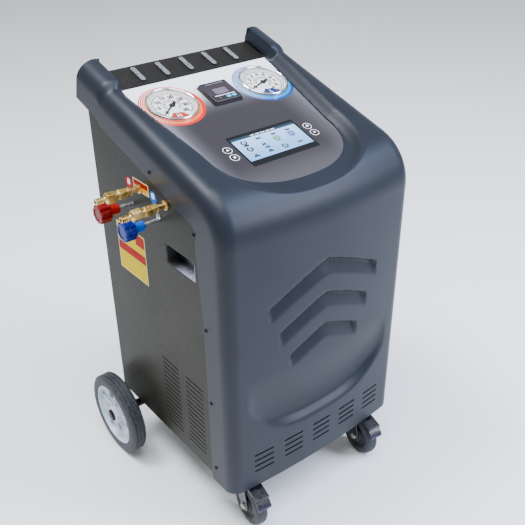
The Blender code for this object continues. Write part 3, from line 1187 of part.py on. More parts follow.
def vacuum_pump():
    """Vacuum pump: motor along Y on a foot, with its oil case in front."""
    low = FLOOR_TOP + GAP
    r = PUMP_RADIUS
    axis = low + r + 0.012
    y0 = -PUMP_LENGTH / 2
    motor = [(0, y0 + 0.055), (r, y0 + 0.055), (r, -y0 - 0.012), (r * 0.82, -y0), (0, -y0)]
    made = add("vacuum_pump", turned(motor, 16, "Y"), ((0.03, 0.08, 0.2), 0.4), (PUMP_X, PUMP_Y, axis), smooth=40)
    case = boxes(((-r * 0.85, y0, -r * 0.8), (r * 0.85, y0 + 0.060, r * 0.95)))
    combine(made, cutter("pump_case", case, (PUMP_X, PUMP_Y, axis)), "UNION")
    foot = boxes(((-r * 0.8, y0 + 0.02, low - axis), (r * 0.8, -y0 - 0.03, -r * 0.7)))
    combine(made, cutter("pump_foot", foot, (PUMP_X, PUMP_Y, axis)), "UNION")


def condenser():
    """Finned condenser behind the front vents, with the fan's shroud and motor arms on its rear face."""
    low = FLOOR_TOP + GAP
    half = CONDENSER_WIDTH / 2
    y0 = -CONDENSER_FRONT
    y1 = y0 + CONDENSER_THICK
    middle_z = low + CONDENSER_TALL / 2
    block = boxes(((-half, y0, low), (half, y1, low + CONDENSER_TALL)))
    made = add("condenser", block, ((0.6, 0.6, 0.62), 0.4, 1.0))
    grooves = []
    pitch = CONDENSER_WIDTH / CONDENSER_FINS
    for i in range(CONDENSER_FINS):
        x = -half + (i + 0.5) * pitch
        grooves.append(((x - pitch / 4, y0 - 0.01, low + 0.012), (x + pitch / 4, y0 + 0.012, low + CONDENSER_TALL - 0.012)))
    combine(made, cutter("fin_grooves", boxes(*grooves)))
    tall = CONDENSER_TALL / 2
    shroud = boxes(((-tall, y1 - 0.001, low), (tall, y1 + SHROUD_DEPTH, low + CONDENSER_TALL)))
    combine(made, cutter("fan_shroud", shroud), "UNION")
    throat = FAN_RADIUS + 0.004
    hole = turned([(0, 0), (throat, 0), (throat, SHROUD_DEPTH + 0.02), (0, SHROUD_DEPTH + 0.02)], 24, "Y")
    combine(made, cutter("fan_throat", hole, (0, y1, middle_z)))
    motor = turned([(0, -0.002), (FAN_HUB_RADIUS * 0.8, -0.002), (FAN_HUB_RADIUS * 0.8, 0.003), (FAN_SHAFT, 0.003),
                    (FAN_SHAFT, FAN_HUB_LENGTH), (0, FAN_HUB_LENGTH)], 12, "Y")
    combine(made, cutter("fan_motor", motor, (0, y1, middle_z)), "UNION")
    fan_rotor((0, y1 + 0.003 + RUNNING_GAP, middle_z))


def fan_rotor(place):
    """Fan: a bored hub with pitched blades."""
    length = FAN_HUB_LENGTH
    hub = turned([(FAN_SHAFT + RUNNING_GAP, 0), (FAN_HUB_RADIUS, 0), (FAN_HUB_RADIUS, length), (FAN_SHAFT + RUNNING_GAP, length)],
                 16, "Y")
    made = add("fan_rotor", hub, ((0.02, 0.02, 0.02), 0.5), place)
    for i in range(FAN_BLADES):
        around = Matrix.Rotation(2 * math.pi * i / FAN_BLADES, 3, "Y")
        rings = []
        for radius, half, pitch in ((FAN_HUB_RADIUS * 0.9, 0.010, 0.70), (FAN_RADIUS * 0.65, 0.018, 0.42),
                                    (FAN_RADIUS, 0.022, 0.30)):
            ring = []
            for a, b in ((-half, -0.0009), (half, -0.0009), (half, 0.0009), (-half, 0.0009)):
                across = a * math.cos(pitch) - b * math.sin(pitch)
                deep = a * math.sin(pitch) + b * math.cos(pitch)
                ring.append(around @ Vector((across, length / 2 + deep * 0.9, radius)))
            rings.append(ring)
        combine(made, cutter(f"fan_blade_{i}", loft(rings), place), "UNION")


def strapped_bottle(name, x, low, radius, profile, finish):
    """A round vessel held to the back panel by a strap bracket."""
    wall = BODY_BACK - SHEET - GAP - SHEET - GAP
    y = wall - radius - 0.008
    made = add(name, turned(profile, 14), finish, (x, y, low), smooth=40)
    height = max(h for r, h in profile)
    strap = boxes(((-0.012, 0.0, height * 0.42), (0.012, wall - y, height * 0.58)))
    combine(made, cutter(f"{name}_strap", strap, (x, y, low)), "UNION")


def filter_and_bottle():
    """Filter drier and oil bottle on the back panel."""
    r = DRIER_RADIUS
    h = DRIER_LENGTH
    drier = [(0, 0), (0.006, 0), (0.006, 0.018), (r, 0.034), (r, h - 0.034), (0.006, h - 0.018), (0.006, h), (0, h)]
    strapped_bottle("filter_drier", DRIER_X, DRIER_LOW, r, drier, ((0.3, 0.3, 0.3), 0.4, 1.0))
    r = BOTTLE_RADIUS
    h = BOTTLE_HEIGHT
    bottle = [(0, 0), (r * 0.9, 0), (r, 0.005), (r, h * 0.72), (r * 0.5, h * 0.84), (r * 0.5, h * 0.88),
              (r * 0.62, h * 0.88), (r * 0.62, h), (0, h)]
    strapped_bottle("oil_bottle", BOTTLE_X, BOTTLE_LOW, r, bottle, ((0.7, 0.6, 0.3), 0.2))


def power_supply():
    """Power supply in a vented box on the back panel."""
    wall = BODY_BACK - SHEET - GAP - SHEET - GAP
    half = SUPPLY_WIDTH / 2
    made = add("power_supply", boxes(((-half, wall - SUPPLY_DEPTH, 0), (half, wall, SUPPLY_TALL))),
               ((0.5, 0.5, 0.5), 0.4, 1.0), (SUPPLY_X, 0, SUPPLY_LOW))
    slots = []
    for i in range(6):
        z = 0.02 + i * (SUPPLY_TALL - 0.04) / 5
        slots.append(((-half + 0.012, wall - SUPPLY_DEPTH - 0.01, z - 0.002), (half - 0.012, wall - SUPPLY_DEPTH + 0.006, z + 0.002)))
    combine(made, cutter("supply_slots", boxes(*slots), (SUPPLY_X, 0, SUPPLY_LOW)))


def centre_on_floor():
    """Move the station so that the middle of its box stands over the origin."""
    bpy.context.view_layer.update()
    graph = bpy.context.evaluated_depsgraph_get()
    corners = []
    for piece in bpy.data.objects:
        if piece.type == "MESH" and not piece.hide_render:
            shaped = piece.evaluated_get(graph)
            corners.extend(shaped.matrix_world @ Vector(corner) for corner in shaped.bound_box)
    for i in (0, 1):
        values = [corner[i] for corner in corners]
        STATION.location[i] = -(min(values) + max(values)) / 2


base_frame()
for SIDE, SIGN in (("left", -1), ("right", 1)):
    side_panel(SIDE, SIGN)
    grip_pocket(SIDE, SIGN)
    rear_wheel(SIDE, SIGN)
    castor(SIDE, SIGN)
rear_axle()
back_panel()
rear_tray()
front_cover()
control_panel()
gauge("high", -1, HIGH_REST)
gauge("low", 1, LOW_REST)
display()
control_keys()
control_board()
printer()
service_manifold()
service_port("high", HIGH_PORT_Y)
service_port("low", LOW_PORT_Y)
shutoff_knob("high", HIGH_PORT_Y, (0.5, 0.01, 0.01))
shutoff_knob("low", LOW_PORT_Y, (0.01, 0.03, 0.3))
push_handle()
power_inlet()
tank_and_scale()
compressor()
vacuum_pump()
condenser()
filter_and_bottle()
power_supply()
centre_on_floor()
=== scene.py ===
"""Air conditioning service station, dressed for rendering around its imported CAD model."""
import bpy
import bmesh
import json
import math
from mathutils import Matrix, Vector

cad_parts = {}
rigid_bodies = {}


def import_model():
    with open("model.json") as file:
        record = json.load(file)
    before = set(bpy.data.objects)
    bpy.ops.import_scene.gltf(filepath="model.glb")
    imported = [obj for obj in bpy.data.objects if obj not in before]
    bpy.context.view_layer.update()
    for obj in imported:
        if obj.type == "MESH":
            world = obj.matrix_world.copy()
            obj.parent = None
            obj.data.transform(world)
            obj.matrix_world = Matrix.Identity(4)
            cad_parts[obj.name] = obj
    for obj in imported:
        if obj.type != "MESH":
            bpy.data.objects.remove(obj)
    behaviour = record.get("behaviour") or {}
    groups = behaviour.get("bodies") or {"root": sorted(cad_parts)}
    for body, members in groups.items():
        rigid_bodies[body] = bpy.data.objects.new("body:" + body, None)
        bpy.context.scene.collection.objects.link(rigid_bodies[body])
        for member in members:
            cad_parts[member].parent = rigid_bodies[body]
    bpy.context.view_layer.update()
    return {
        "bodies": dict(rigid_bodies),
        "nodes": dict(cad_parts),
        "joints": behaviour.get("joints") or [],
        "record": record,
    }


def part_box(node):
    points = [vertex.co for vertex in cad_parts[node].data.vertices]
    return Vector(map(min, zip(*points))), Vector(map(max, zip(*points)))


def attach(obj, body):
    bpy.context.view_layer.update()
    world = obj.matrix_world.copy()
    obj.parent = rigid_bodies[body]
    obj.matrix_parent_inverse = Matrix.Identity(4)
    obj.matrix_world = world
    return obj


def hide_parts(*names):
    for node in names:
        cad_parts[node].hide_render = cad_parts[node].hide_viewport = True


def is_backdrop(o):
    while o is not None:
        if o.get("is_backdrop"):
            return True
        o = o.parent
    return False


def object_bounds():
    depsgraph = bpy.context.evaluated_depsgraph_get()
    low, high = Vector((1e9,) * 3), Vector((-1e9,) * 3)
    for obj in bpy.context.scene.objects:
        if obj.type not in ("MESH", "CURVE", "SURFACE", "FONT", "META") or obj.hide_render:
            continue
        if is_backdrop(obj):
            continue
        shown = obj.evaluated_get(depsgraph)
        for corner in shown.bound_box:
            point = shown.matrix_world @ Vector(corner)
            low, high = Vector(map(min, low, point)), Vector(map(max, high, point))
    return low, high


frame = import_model()

# Camera: the photographer stood to the left of the station and above its top, with a normal lens.
# The station's own middle, between its side panels, is the point it is set from.
side_low, side_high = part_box("left_side_panel")
HALF_BODY = 0.2300
BODY_BACK = 0.2950
MIDDLE = Vector((side_low.x + HALF_BODY, side_high.y - BODY_BACK, 0.0))
PHOTO_PIXELS, FOCAL_PIXELS = 525.0, 737.79
AXIS_PIXEL = (248.53, 265.02)
CAMERA_PLACE = Vector((-0.8479, -1.0202, 1.3206))
camera = bpy.data.cameras.new("photographer")
camera.sensor_width = 36.0
camera.lens = FOCAL_PIXELS * camera.sensor_width / PHOTO_PIXELS
camera.shift_x = (PHOTO_PIXELS / 2 - AXIS_PIXEL[0]) / PHOTO_PIXELS
camera.shift_y = (AXIS_PIXEL[1] - PHOTO_PIXELS / 2) / PHOTO_PIXELS
viewer = bpy.data.objects.new("photographer", camera)
bpy.context.collection.objects.link(viewer)
azimuth, height, roll = math.radians(-37.58), math.radians(30.96), math.radians(-1.18)
back = Vector((math.sin(azimuth) * math.cos(height), -math.cos(azimuth) * math.cos(height), math.sin(height)))
right = (-back).cross(Vector((0, 0, 1))).normalized()
up = right.cross(-back)
aim = Matrix((right, up, back)).transposed() @ Matrix.Rotation(roll, 3, "Z")
viewer.matrix_world = Matrix.Translation(MIDDLE + CAMERA_PLACE) @ aim.to_4x4()
camera.clip_end = 60.0
bpy.context.scene.camera = viewer

# Studio: a plain pale floor that runs out of sight, an even room and four large soft lights: one
# overhead, two at the right that gleam on brow and ledge, and one behind for the ridges.
bpy.ops.object.select_all(action="DESELECT")
bpy.ops.mesh.primitive_plane_add(size=40.0, location=(0, 0, 0))
floor = bpy.context.object
floor.name = "studio_floor"
floor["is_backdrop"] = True


def linear(colour):
    """sRGB hex as linear RGBA."""
    values = [int(colour[i:i + 2], 16) / 255 for i in (1, 3, 5)]
    return [v / 12.92 if v <= 0.04045 else ((v + 0.055) / 1.055) ** 2.4 for v in values] + [1.0]


def node(tree, kind, result=0, **given):
    """Add a node and return one of its results. A small name is a setting and any other an input,
    by its name or its number; an input is a value, a hex colour or another node's result."""
    made = tree.nodes.new("ShaderNode" + kind)
    for name, value in given.items():
        if name[0].islower():
            setattr(made, name, value)
            continue
        socket = made.inputs[int(name[1:])] if name[0] == "_" else made.inputs[name.replace("_", " ")]
        if isinstance(value, bpy.types.NodeSocket):
            tree.links.new(value, socket)
        else:
            socket.default_value = linear(value) if isinstance(value, str) else value
    return made.outputs[result]


def finish(name, colour, roughness, metallic=0.0, **sockets):
    """A Principled material; returns it with its tree, its shader and its Object coordinates."""
    made = bpy.data.materials.new(name)
    made.use_nodes = True
    tree = made.node_tree
    shader = tree.nodes["Principled BSDF"]
    shader.inputs["Base Color"].default_value = linear(colour)
    shader.inputs["Roughness"].default_value = roughness
    shader.inputs["Metallic"].default_value = metallic
    for socket, value in sockets.items():
        value = linear(value) if isinstance(value, str) else value
        shader.inputs[socket.replace("_", " ")].default_value = value
    where = node(tree, "TexCoord", "Object")
    return made, tree, shader, where


paint, tree, shader, where = finish("matt_studio_white", "#F4F4F3", 0.9)
floor.data.materials.append(paint)
room = bpy.data.worlds.new("studio")
bpy.context.scene.world = room
room.use_nodes = True
walls = room.node_tree.nodes["Background"]
walls.inputs["Color"].default_value = linear("#F6F8FC")
walls.inputs["Strength"].default_value = 0.68
for name, place, size, power, tint in (
        ("top_light", (-0.6, -0.8, 4.2), 2.6, 180.0, "#F4F8FF"),
        ("brow_light", (1.9, -1.9, 3.1), 1.7, 165.0, "#C4D6FF"),
        ("ledge_light", (1.9, -2.9, 2.0), 1.0, 95.0, "#E8EEFF"),
        ("ridge_light", (-1.3, 0.9, 4.0), 1.3, 170.0, "#F0F4FF")):
    lamp = bpy.data.lights.new(name, "AREA")
    lamp.shape = "DISK"
    lamp.size = size
    lamp.energy = power
    lamp.color = linear(tint)[:3]
    lamp_object = bpy.data.objects.new(name, lamp)
    bpy.context.collection.objects.link(lamp_object)
    lamp_object.location = place
    down = Vector((0, 0, 0.55)) - Vector(place)
    lamp_object.rotation_euler = down.to_track_quat("-Z", "Y").to_euler()

# Front cover: one large moulding of grained ABS, pressed over a former and trimmed. It wraps the
# front and the top, carries the panel in its recess and is screwed on through its side flanges.
SLOPE = math.radians(17.1)
SLOPE_COS, SLOPE_SIN = math.cos(SLOPE), math.sin(SLOPE)
DISPLAY_Z = 0.800
COVER_HALF, COVER_FACE, COVER_LOW, COVER_REAR, COVER_WALL = 0.2338, -0.166, 0.123, 0.335, 0.0035
BROW, RIDGE, CHEEK, CHEEK_START = 0.110, 0.022, 0.031, 0.2375
PANEL_HALF_REAR, PANEL_HALF_FRONT, PANEL_REAR, PANEL_TURN, PANEL_REACH = 0.182, 0.152, 0.257, 0.014, 0.126
PANEL_ROUNDNESS = 2.4
RECESS_REACH, RECESS_FLARE, RECESS_FILLET = 0.158, 0.0328, 0.0030
CHEVRONS = ((0.615, 0.139), (0.540, 0.114), (0.467, 0.088))
CHEVRON_DEPTH, CHEVRON_BAND, CHEVRON_FALL = 0.0125, 0.034, 0.43
LEDGE_HALF, LEDGE_LOW, LEDGE_RISE, LEDGE_TOP, LEDGE_DEPTH = 0.190, 0.246, 0.080, 0.410, 0.0165
VENT_LONG, VENT_TALL, VENT_PITCH, VENT_ROW, VENT_TOP = 0.049, 0.0044, 0.0772, 0.0146, 0.2095
GRID = 0.0041


def smooth(value, start, end):
    """Smooth step from 0 at start to 1 at end."""
    t = min(1.0, max(0.0, (value - start) / (end - start)))
    return t * t * (3 - 2 * t)


def soft_least(a, b, width):
    """The lesser of two heights, rounded where they cross."""
    low = min(a, b)
    return low - width * math.log(math.exp((low - a) / width) + math.exp((low - b) / width))


def on_panel(x, w, h=0.0):
    """Place on the sloping panel: across, up the slope from the display's middle, and out of it."""
    return Vector((x, w * SLOPE_COS - h * SLOPE_SIN, DISPLAY_Z + w * SLOPE_SIN + h * SLOPE_COS)) + MIDDLE


def crest(w, h):
    """Place on the slope, seen from the side, as (y, z)."""
    return (w * SLOPE_COS - h * SLOPE_SIN, DISPLAY_Z + w * SLOPE_SIN + h * SLOPE_COS)


def hood_rows():
    """Points of the cover's middle line with their normals and how far round the brow each is."""
    corner = math.pi / 2 - SLOPE
    line_y, line_z = -RIDGE * SLOPE_SIN, DISPLAY_Z + RIDGE * SLOPE_COS
    centre_z = line_z + (COVER_FACE - line_y) * math.tan(SLOPE) - BROW * math.tan(corner / 2)
    centre_y = COVER_FACE + BROW
    rows = []
    count = round((centre_z - COVER_LOW) / GRID)
    for i in range(count):
        rows.append((COVER_FACE, COVER_LOW + (centre_z - COVER_LOW) * i / count, -1.0, 0.0, 0.0))
    count = round(BROW * corner / GRID)
    for i in range(count + 1):
        angle = corner * i / count
        rows.append((centre_y - BROW * math.cos(angle), centre_z + BROW * math.sin(angle),
                     -math.cos(angle), math.sin(angle), i / count))
    start = rows[-1][0] * SLOPE_COS + (rows[-1][1] - DISPLAY_Z) * SLOPE_SIN
    count = round((COVER_REAR - start) / GRID)
    for i in range(1, count + 1):
        w = start + (COVER_REAR - start) * i / count
        h = RIDGE + (CHEEK - RIDGE) * smooth(w, CHEEK_START, PANEL_REAR)
        y, z = crest(w, h)
        rows.append((y, z, -SLOPE_SIN, SLOPE_COS, 1.0))
    return rows


def hood_columns(turn, height):
    """Half of the cover's cross section from the flange's edge to the middle, as (x, depth)."""
    radius = 0.030 + 0.006 * turn
    flange = 0.098 - 0.020 * turn
    if turn == 0.0:
        flange = 0.084 + 0.014 * min(1.0, max(0.0, (height - 0.510) / 0.181))
    bow = 0.010 * (1 - turn)
    flat = COVER_HALF - radius
    half = [(COVER_HALF, flange + (bow + radius - flange) * i / 8) for i in range(8)]
    for i in range(11):
        angle = math.pi / 2 * i / 10
        half.append((flat + radius * math.cos(angle), bow + radius - radius * math.sin(angle)))
    across = round(0.2 / GRID)
    for i in range(1, across + 1):
        x = flat * (1 - i / across)
        half.append((x, bow * (x / flat) ** 2))
    return half


def recess_height(x, w):
    """Height of the recess's floor and leaning wall over the panel's plane."""
    x = abs(x)
    if w > PANEL_TURN:
        along = min(1.0, (w - PANEL_TURN) / (PANEL_REAR - PANEL_TURN))
        out = x - PANEL_HALF_FRONT - RECESS_FLARE * along
    else:
        q = (x / PANEL_HALF_FRONT) ** PANEL_ROUNDNESS + ((PANEL_TURN - w) / RECESS_REACH) ** PANEL_ROUNDNESS
        out = math.hypot(x, w - PANEL_TURN) * (1 - 1 / max(q ** (1 / PANEL_ROUNDNESS), 0.05))
    steep = 1.15 + 6.0 * smooth(w, 0.236, 0.256)
    return steep * RECESS_FILLET * math.log(1 + math.exp(min(40.0, (out - 0.001) / RECESS_FILLET)))


def face_relief(x, z):
    """Depth pressed into the front face: three chevrons and the smile shaped ledge."""
    depth = 0.0
    for tip, reach in CHEVRONS:
        along = math.hypot(x, 0.006)
        below = tip - CHEVRON_FALL * reach * (along / reach) ** 1.15 - z
        if abs(x) > reach + 0.008 or below < -0.01 or below > 0.06:
            continue
        groove = smooth(below, -0.003, 0.0055) * min(1.0, max(0.0, (CHEVRON_BAND - below) / 0.028))
        ends = (1 - 0.2 * abs(x) / reach) * smooth(reach + 0.003 - abs(x), 0.0, 0.008)
        depth = max(depth, CHEVRON_DEPTH * groove * ends)
    share = min(1.0, abs(x) / LEDGE_HALF)
    low = LEDGE_LOW + LEDGE_RISE * share ** 3.2
    lip = smooth(z, low - 0.009, low + 0.016) * (1 - smooth(z, low + 0.018, LEDGE_TOP))
    return max(depth, LEDGE_DEPTH * lip * (1 - share ** 5))


def capsule(long, tall, steps=5):
    """Outline of a slot with round ends."""
    ends = []
    for side in (1, -1):
        for i in range(steps + 1):
            angle = math.pi * (i / steps - 0.5)
            out = (long - tall + tall * math.cos(angle)) / 2
            ends.append((side * out, side * tall / 2 * math.sin(angle)))
    return ends


def cutting_block(mesh, outline, place, start, end):
    """Add a closed prism to a mesh; place turns (a, b, level) into a point."""
    rings = [[mesh.verts.new(place(a, b, level)) for a, b in outline] for level in (start, end)]
    count = len(outline)
    for i in range(count):
        j = (i + 1) % count
        mesh.faces.new((rings[0][i], rings[0][j], rings[1][j], rings[1][i]))
    mesh.faces.new(rings[0])
    mesh.faces.new(rings[1])


def cut_with(piece, mesh, operation="DIFFERENCE"):
    """Cut a piece with the closed shapes of a mesh, and keep the result."""
    bmesh.ops.recalc_face_normals(mesh, faces=mesh.faces[:])
    data = bpy.data.meshes.new("cutting_shapes")
    mesh.to_mesh(data)
    mesh.free()
    tool = bpy.data.objects.new("cutting_shapes", data)
    bpy.context.collection.objects.link(tool)
    select_only(piece)
    step = piece.modifiers.new("cut", "BOOLEAN")
    step.operation = operation
    step.solver = "EXACT"
    step.object = tool
    bpy.ops.object.modifier_apply(modifier="cut")
    bpy.data.objects.remove(tool, do_unlink=True)
    bpy.data.meshes.remove(data)


def select_only(piece):
    """Deselect everything and select one object."""
    bpy.ops.object.select_all(action="DESELECT")
    piece.select_set(True)
    bpy.context.view_layer.objects.active = piece


def panel_edge(grow):
    """Outline (x, w) of the control panel, grown by a clearance."""
    half = [(PANEL_HALF_REAR + grow, PANEL_REAR + grow), (PANEL_HALF_FRONT + grow, PANEL_TURN)]
    reach = PANEL_REACH + grow
    power = 2 / PANEL_ROUNDNESS
    for i in range(1, 32):
        angle = math.pi / 2 * i / 32
        x = (PANEL_HALF_FRONT + grow) * math.cos(angle) ** power
        half.append((x, PANEL_TURN - reach * math.sin(angle) ** power))
    half.append((0.0, PANEL_TURN - reach))
    return half + [(-x, w) for x, w in reversed(half[:-1])]


def through_front(a, b, level):
    """Place (x, z) on the front face, at a depth."""
    return Vector((a, level, b)) + MIDDLE


def on_cheek(x, h, w):
    """Place across the slope and over it, at a distance up it."""
    return on_panel(x, w, h)


rows = hood_rows()
width = 2 * len(hood_columns(0.0, 0.0)) - 1
bpy.ops.object.select_all(action="DESELECT")
bpy.ops.mesh.primitive_grid_add(x_subdivisions=width - 1, y_subdivisions=len(rows) - 1, size=1.0)
cover = bpy.context.object
cover.name = "moulded_cover"
columns_seen = {}
inside = []
for number, vertex in enumerate(cover.data.vertices):
    row, column = divmod(number, width)
    y, z, normal_y, normal_z, turn = rows[row]
    half = columns_seen.setdefault(row, hood_columns(turn, z))
    x, depth = half[column] if column < len(half) else half[width - 1 - column]
    x = x if column < len(half) else -x
    y, z = y - normal_y * depth, z - normal_z * depth
    if row and turn == 0.0 and depth < 0.030:
        y += face_relief(x, z)
    w = y * SLOPE_COS + (z - DISPLAY_Z) * SLOPE_SIN
    h = -y * SLOPE_SIN + (z - DISPLAY_Z) * SLOPE_COS
    if h > -0.03 and depth < 0.034:
        lower = soft_least(h, recess_height(x, w), 0.0028) - h
        y -= lower * SLOPE_SIN
        z += lower * SLOPE_COS
        h += lower
    vertex.co = Vector((x, y, z)) + MIDDLE
    under_panel = abs(x) < 0.140 and -0.02 < w < 0.25
    under_tray = abs(x) < 0.175 and w > 0.262
    if h < 0.01 and (under_panel or under_tray):
        inside.append(number)
select_only(cover)
bpy.ops.object.mode_set(mode="EDIT")
bpy.ops.mesh.select_all(action="DESELECT")
bpy.ops.object.mode_set(mode="OBJECT")
for number in inside:
    cover.data.vertices[number].select = True
bpy.ops.object.mode_set(mode="EDIT")
bpy.ops.mesh.delete(type="VERT")
bpy.ops.mesh.select_all(action="SELECT")
bpy.ops.mesh.normals_make_consistent(inside=False)
bpy.ops.object.mode_set(mode="OBJECT")
wall = cover.modifiers.new("wall", "SOLIDIFY")
wall.thickness = COVER_WALL
wall.offset = -1.0
bpy.ops.object.modifier_apply(modifier="wall")
GAP = 0.0003
TRAY_HALF = 0.1847
holes = bmesh.new()
tray_front = PANEL_REAR + GAP
outline = [(TRAY_HALF, 0.4), (TRAY_HALF, tray_front)] + panel_edge(GAP)
outline += [(-TRAY_HALF, tray_front), (-TRAY_HALF, 0.4)]
cutting_block(holes, outline, on_panel, -0.03, 0.02)
for group in range(5):
    for line in range(4):
        x, z = (group - 2) * VENT_PITCH, VENT_TOP - line * VENT_ROW
        slot = [(x + a, z + b) for a, b in capsule(VENT_LONG, VENT_TALL)]
        cutting_block(holes, slot, through_front, COVER_FACE - 0.01, COVER_FACE + 0.03)
cut_with(cover, holes)
# The cheeks' rear ends are closed by a wall that lies just inside the shell's outer face.
ends = bmesh.new()
inner = TRAY_HALF + 0.0009
rim = [(x - 0.0012, CHEEK - depth - 0.0012) for x, depth in hood_columns(1.0, 0.0) if x > 0.186]
rim += [(inner, CHEEK - 0.0012), (inner, -0.0440)]
for sign in (1, -1):
    cutting_block(ends, [(sign * x, h) for x, h in rim], on_cheek, COVER_REAR - 0.0032, COVER_REAR)
cut_with(cover, ends, "UNION")
bpy.ops.object.shade_smooth_by_angle(angle=math.radians(38))


def sway(tree, shader, pattern, gloss=None, tones=None, relief=None, edges=(0.3, 0.7)):
    """Let a pattern sway a finish between two roughnesses and two tones, and give it a relief of
    some strength and depth. The pattern's contrast is drawn out between two edges of its own."""
    share = pattern
    if edges and (gloss or tones):
        share = node(tree, "MapRange", interpolation_type="SMOOTHSTEP", Value=pattern, From_Min=edges[0],
                     From_Max=edges[1])
    if gloss:
        level = node(tree, "MapRange", Value=share, To_Min=gloss[0], To_Max=gloss[1])
        tree.links.new(level, shader.inputs["Roughness"])
    if tones:
        tone = node(tree, "Mix", 2, data_type="RGBA", _0=share, _6=tones[0], _7=tones[1])
        tree.links.new(tone, shader.inputs["Base Color"])
    if relief:
        bump = node(tree, "Bump", Height=pattern, Strength=relief[0], Distance=relief[1])
        tree.links.new(bump, shader.inputs["Normal"])


# Grained ABS: slate grey right through, with a fine leather-like grain that breaks up the shine
# of its upper edges. A pattern's scale counts its patches to the metre. The grain of 0.3 mm is
# drawn at 2 mm, or it wouldn't show, and the tone drifts a little over 110 mm.
abs_cover, tree, shader, where = finish("grained_abs_slate", "#191E25", 0.4, Specular_IOR_Level=0.23)
grain = node(tree, "TexNoise", Vector=where, Scale=520.0, Detail=3.0, Roughness=0.6)
broad = node(tree, "TexNoise", Vector=where, Scale=9.0, Detail=2.0)
sway(tree, shader, grain, gloss=(0.32, 0.46), relief=(0.35, 0.0006), edges=None)
sway(tree, shader, broad, tones=("#151A21", "#1D232C"), edges=None)
cover.data.materials.append(abs_cover)
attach(cover, "cabinet")
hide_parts("front_cover")

# Cover screws: black zinc button heads with a hexagon socket, five down each flange, driven
# through the moulding into clips on the side panels.
def fresh(name):
    """Name the primitive just added and give it back."""
    piece = bpy.context.object
    piece.name = name
    return piece


def settle(piece, frame, angle=35):
    """Close the edit of a piece: normals outwards, its place into the mesh, soft edges kept."""
    select_only(piece)
    bpy.ops.object.mode_set(mode="EDIT")
    bpy.ops.mesh.select_all(action="SELECT")
    bpy.ops.mesh.remove_doubles(threshold=0.000001)
    bpy.ops.mesh.delete_loose()
    bpy.ops.mesh.select_all(action="SELECT")
    bpy.ops.mesh.normals_make_consistent(inside=False)
    bpy.ops.object.mode_set(mode="OBJECT")
    piece.data.transform(frame)
    bpy.ops.object.shade_smooth_by_angle(angle=math.radians(angle))
    return piece


def lathe(name, profile, frame, steps=48, angle=35):
    """Spin a closed profile of (radius, height) points about Z."""
    bpy.ops.object.select_all(action="DESELECT")
    bpy.ops.mesh.primitive_circle_add(vertices=len(profile), radius=1.0)
    piece = fresh(name)
    for vertex, (radius, level) in zip(piece.data.vertices, profile):
        vertex.co = (radius, 0.0, level)
    bpy.ops.object.mode_set(mode="EDIT")
    bpy.ops.mesh.select_all(action="SELECT")
    bpy.ops.mesh.spin(steps=steps, angle=2 * math.pi, center=(0, 0, 0), axis=(0, 0, 1))
    bpy.ops.object.mode_set(mode="OBJECT")
    return settle(piece, frame, angle)


def slab(name, outline, low, high, frame, bevel=0.0, rounds=2, angle=35):
    """Extrude an outline of (a, b) points along Z and round its edges."""
    bpy.ops.object.select_all(action="DESELECT")
    bpy.ops.mesh.primitive_circle_add(vertices=len(outline), radius=1.0, fill_type="NGON")
    piece = fresh(name)
    for vertex, (a, b) in zip(piece.data.vertices, outline):
        vertex.co = (a, b, low)
    bpy.ops.object.mode_set(mode="EDIT")
    bpy.ops.mesh.select_all(action="SELECT")
    bpy.ops.mesh.extrude_region_move(TRANSFORM_OT_translate={"value": (0, 0, high - low)})
    bpy.ops.object.mode_set(mode="OBJECT")
    settle(piece, Matrix())
    if bevel:
        step = piece.modifiers.new("edges", "BEVEL")
        step.width = bevel
        step.segments = rounds
        step.limit_method = "ANGLE"
        bpy.ops.object.modifier_apply(modifier="edges")
    return settle(piece, frame, angle)


def copies(piece, frames):
    """Copies of a piece, each with its own mesh."""
    made = []
    for number, frame in enumerate(frames):
        other = piece.copy()
        other.data = piece.data.copy()
        other.data.transform(frame)
        other.name = f"{piece.name}_{number + 2}"
        bpy.context.collection.objects.link(other)
        made.append(other)
    return made


def joined(name, pieces):
    """Join pieces into one."""
    bpy.ops.object.select_all(action="DESELECT")
    for piece in pieces:
        piece.select_set(True)
    bpy.context.view_layer.objects.active = pieces[0]
    bpy.ops.object.join()
    return fresh(name)


def give(piece, made, body, slot, *nodes):
    """Finish a piece: its material, the body it rides on and the nodes it stands for. The slot is not used."""
    piece.data.materials.clear()
    piece.data.materials.append(made)
    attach(piece, body)
    if nodes:
        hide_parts(*nodes)


def circle(radius, count=40, middle=(0.0, 0.0), turn=0.0):
    """Outline of a circle or a regular polygon."""
    return [(middle[0] + radius * math.cos(2 * math.pi * i / count + turn),
             middle[1] + radius * math.sin(2 * math.pi * i / count + turn)) for i in range(count)]


def oblong(half_a, half_b, radius, middle=(0.0, 0.0), steps=5):
    """Outline of a rectangle with round corners."""
    points = []
    for quarter, (a, b) in enumerate(((1, 1), (-1, 1), (-1, -1), (1, -1))):
        for i in range(steps + 1):
            angle = (quarter + i / steps) * math.pi / 2
            points.append((middle[0] + a * (half_a - radius) + radius * math.cos(angle),
                           middle[1] + b * (half_b - radius) + radius * math.sin(angle)))
    return points


def at(x, y, z):
    """Place measured from the station's middle, as a frame."""
    return Matrix.Translation(MIDDLE + Vector((x, y, z)))


TO_LEFT = Matrix.Rotation(-math.pi / 2, 4, "Y")
TO_RIGHT = Matrix.Rotation(math.pi / 2, 4, "Y")
TO_REAR = Matrix.Rotation(-math.pi / 2, 4, "X")


def flat_place(a, b, level):
    """Place of a cut in a piece that is modelled lying flat at the origin."""
    return Vector((a, b, level))


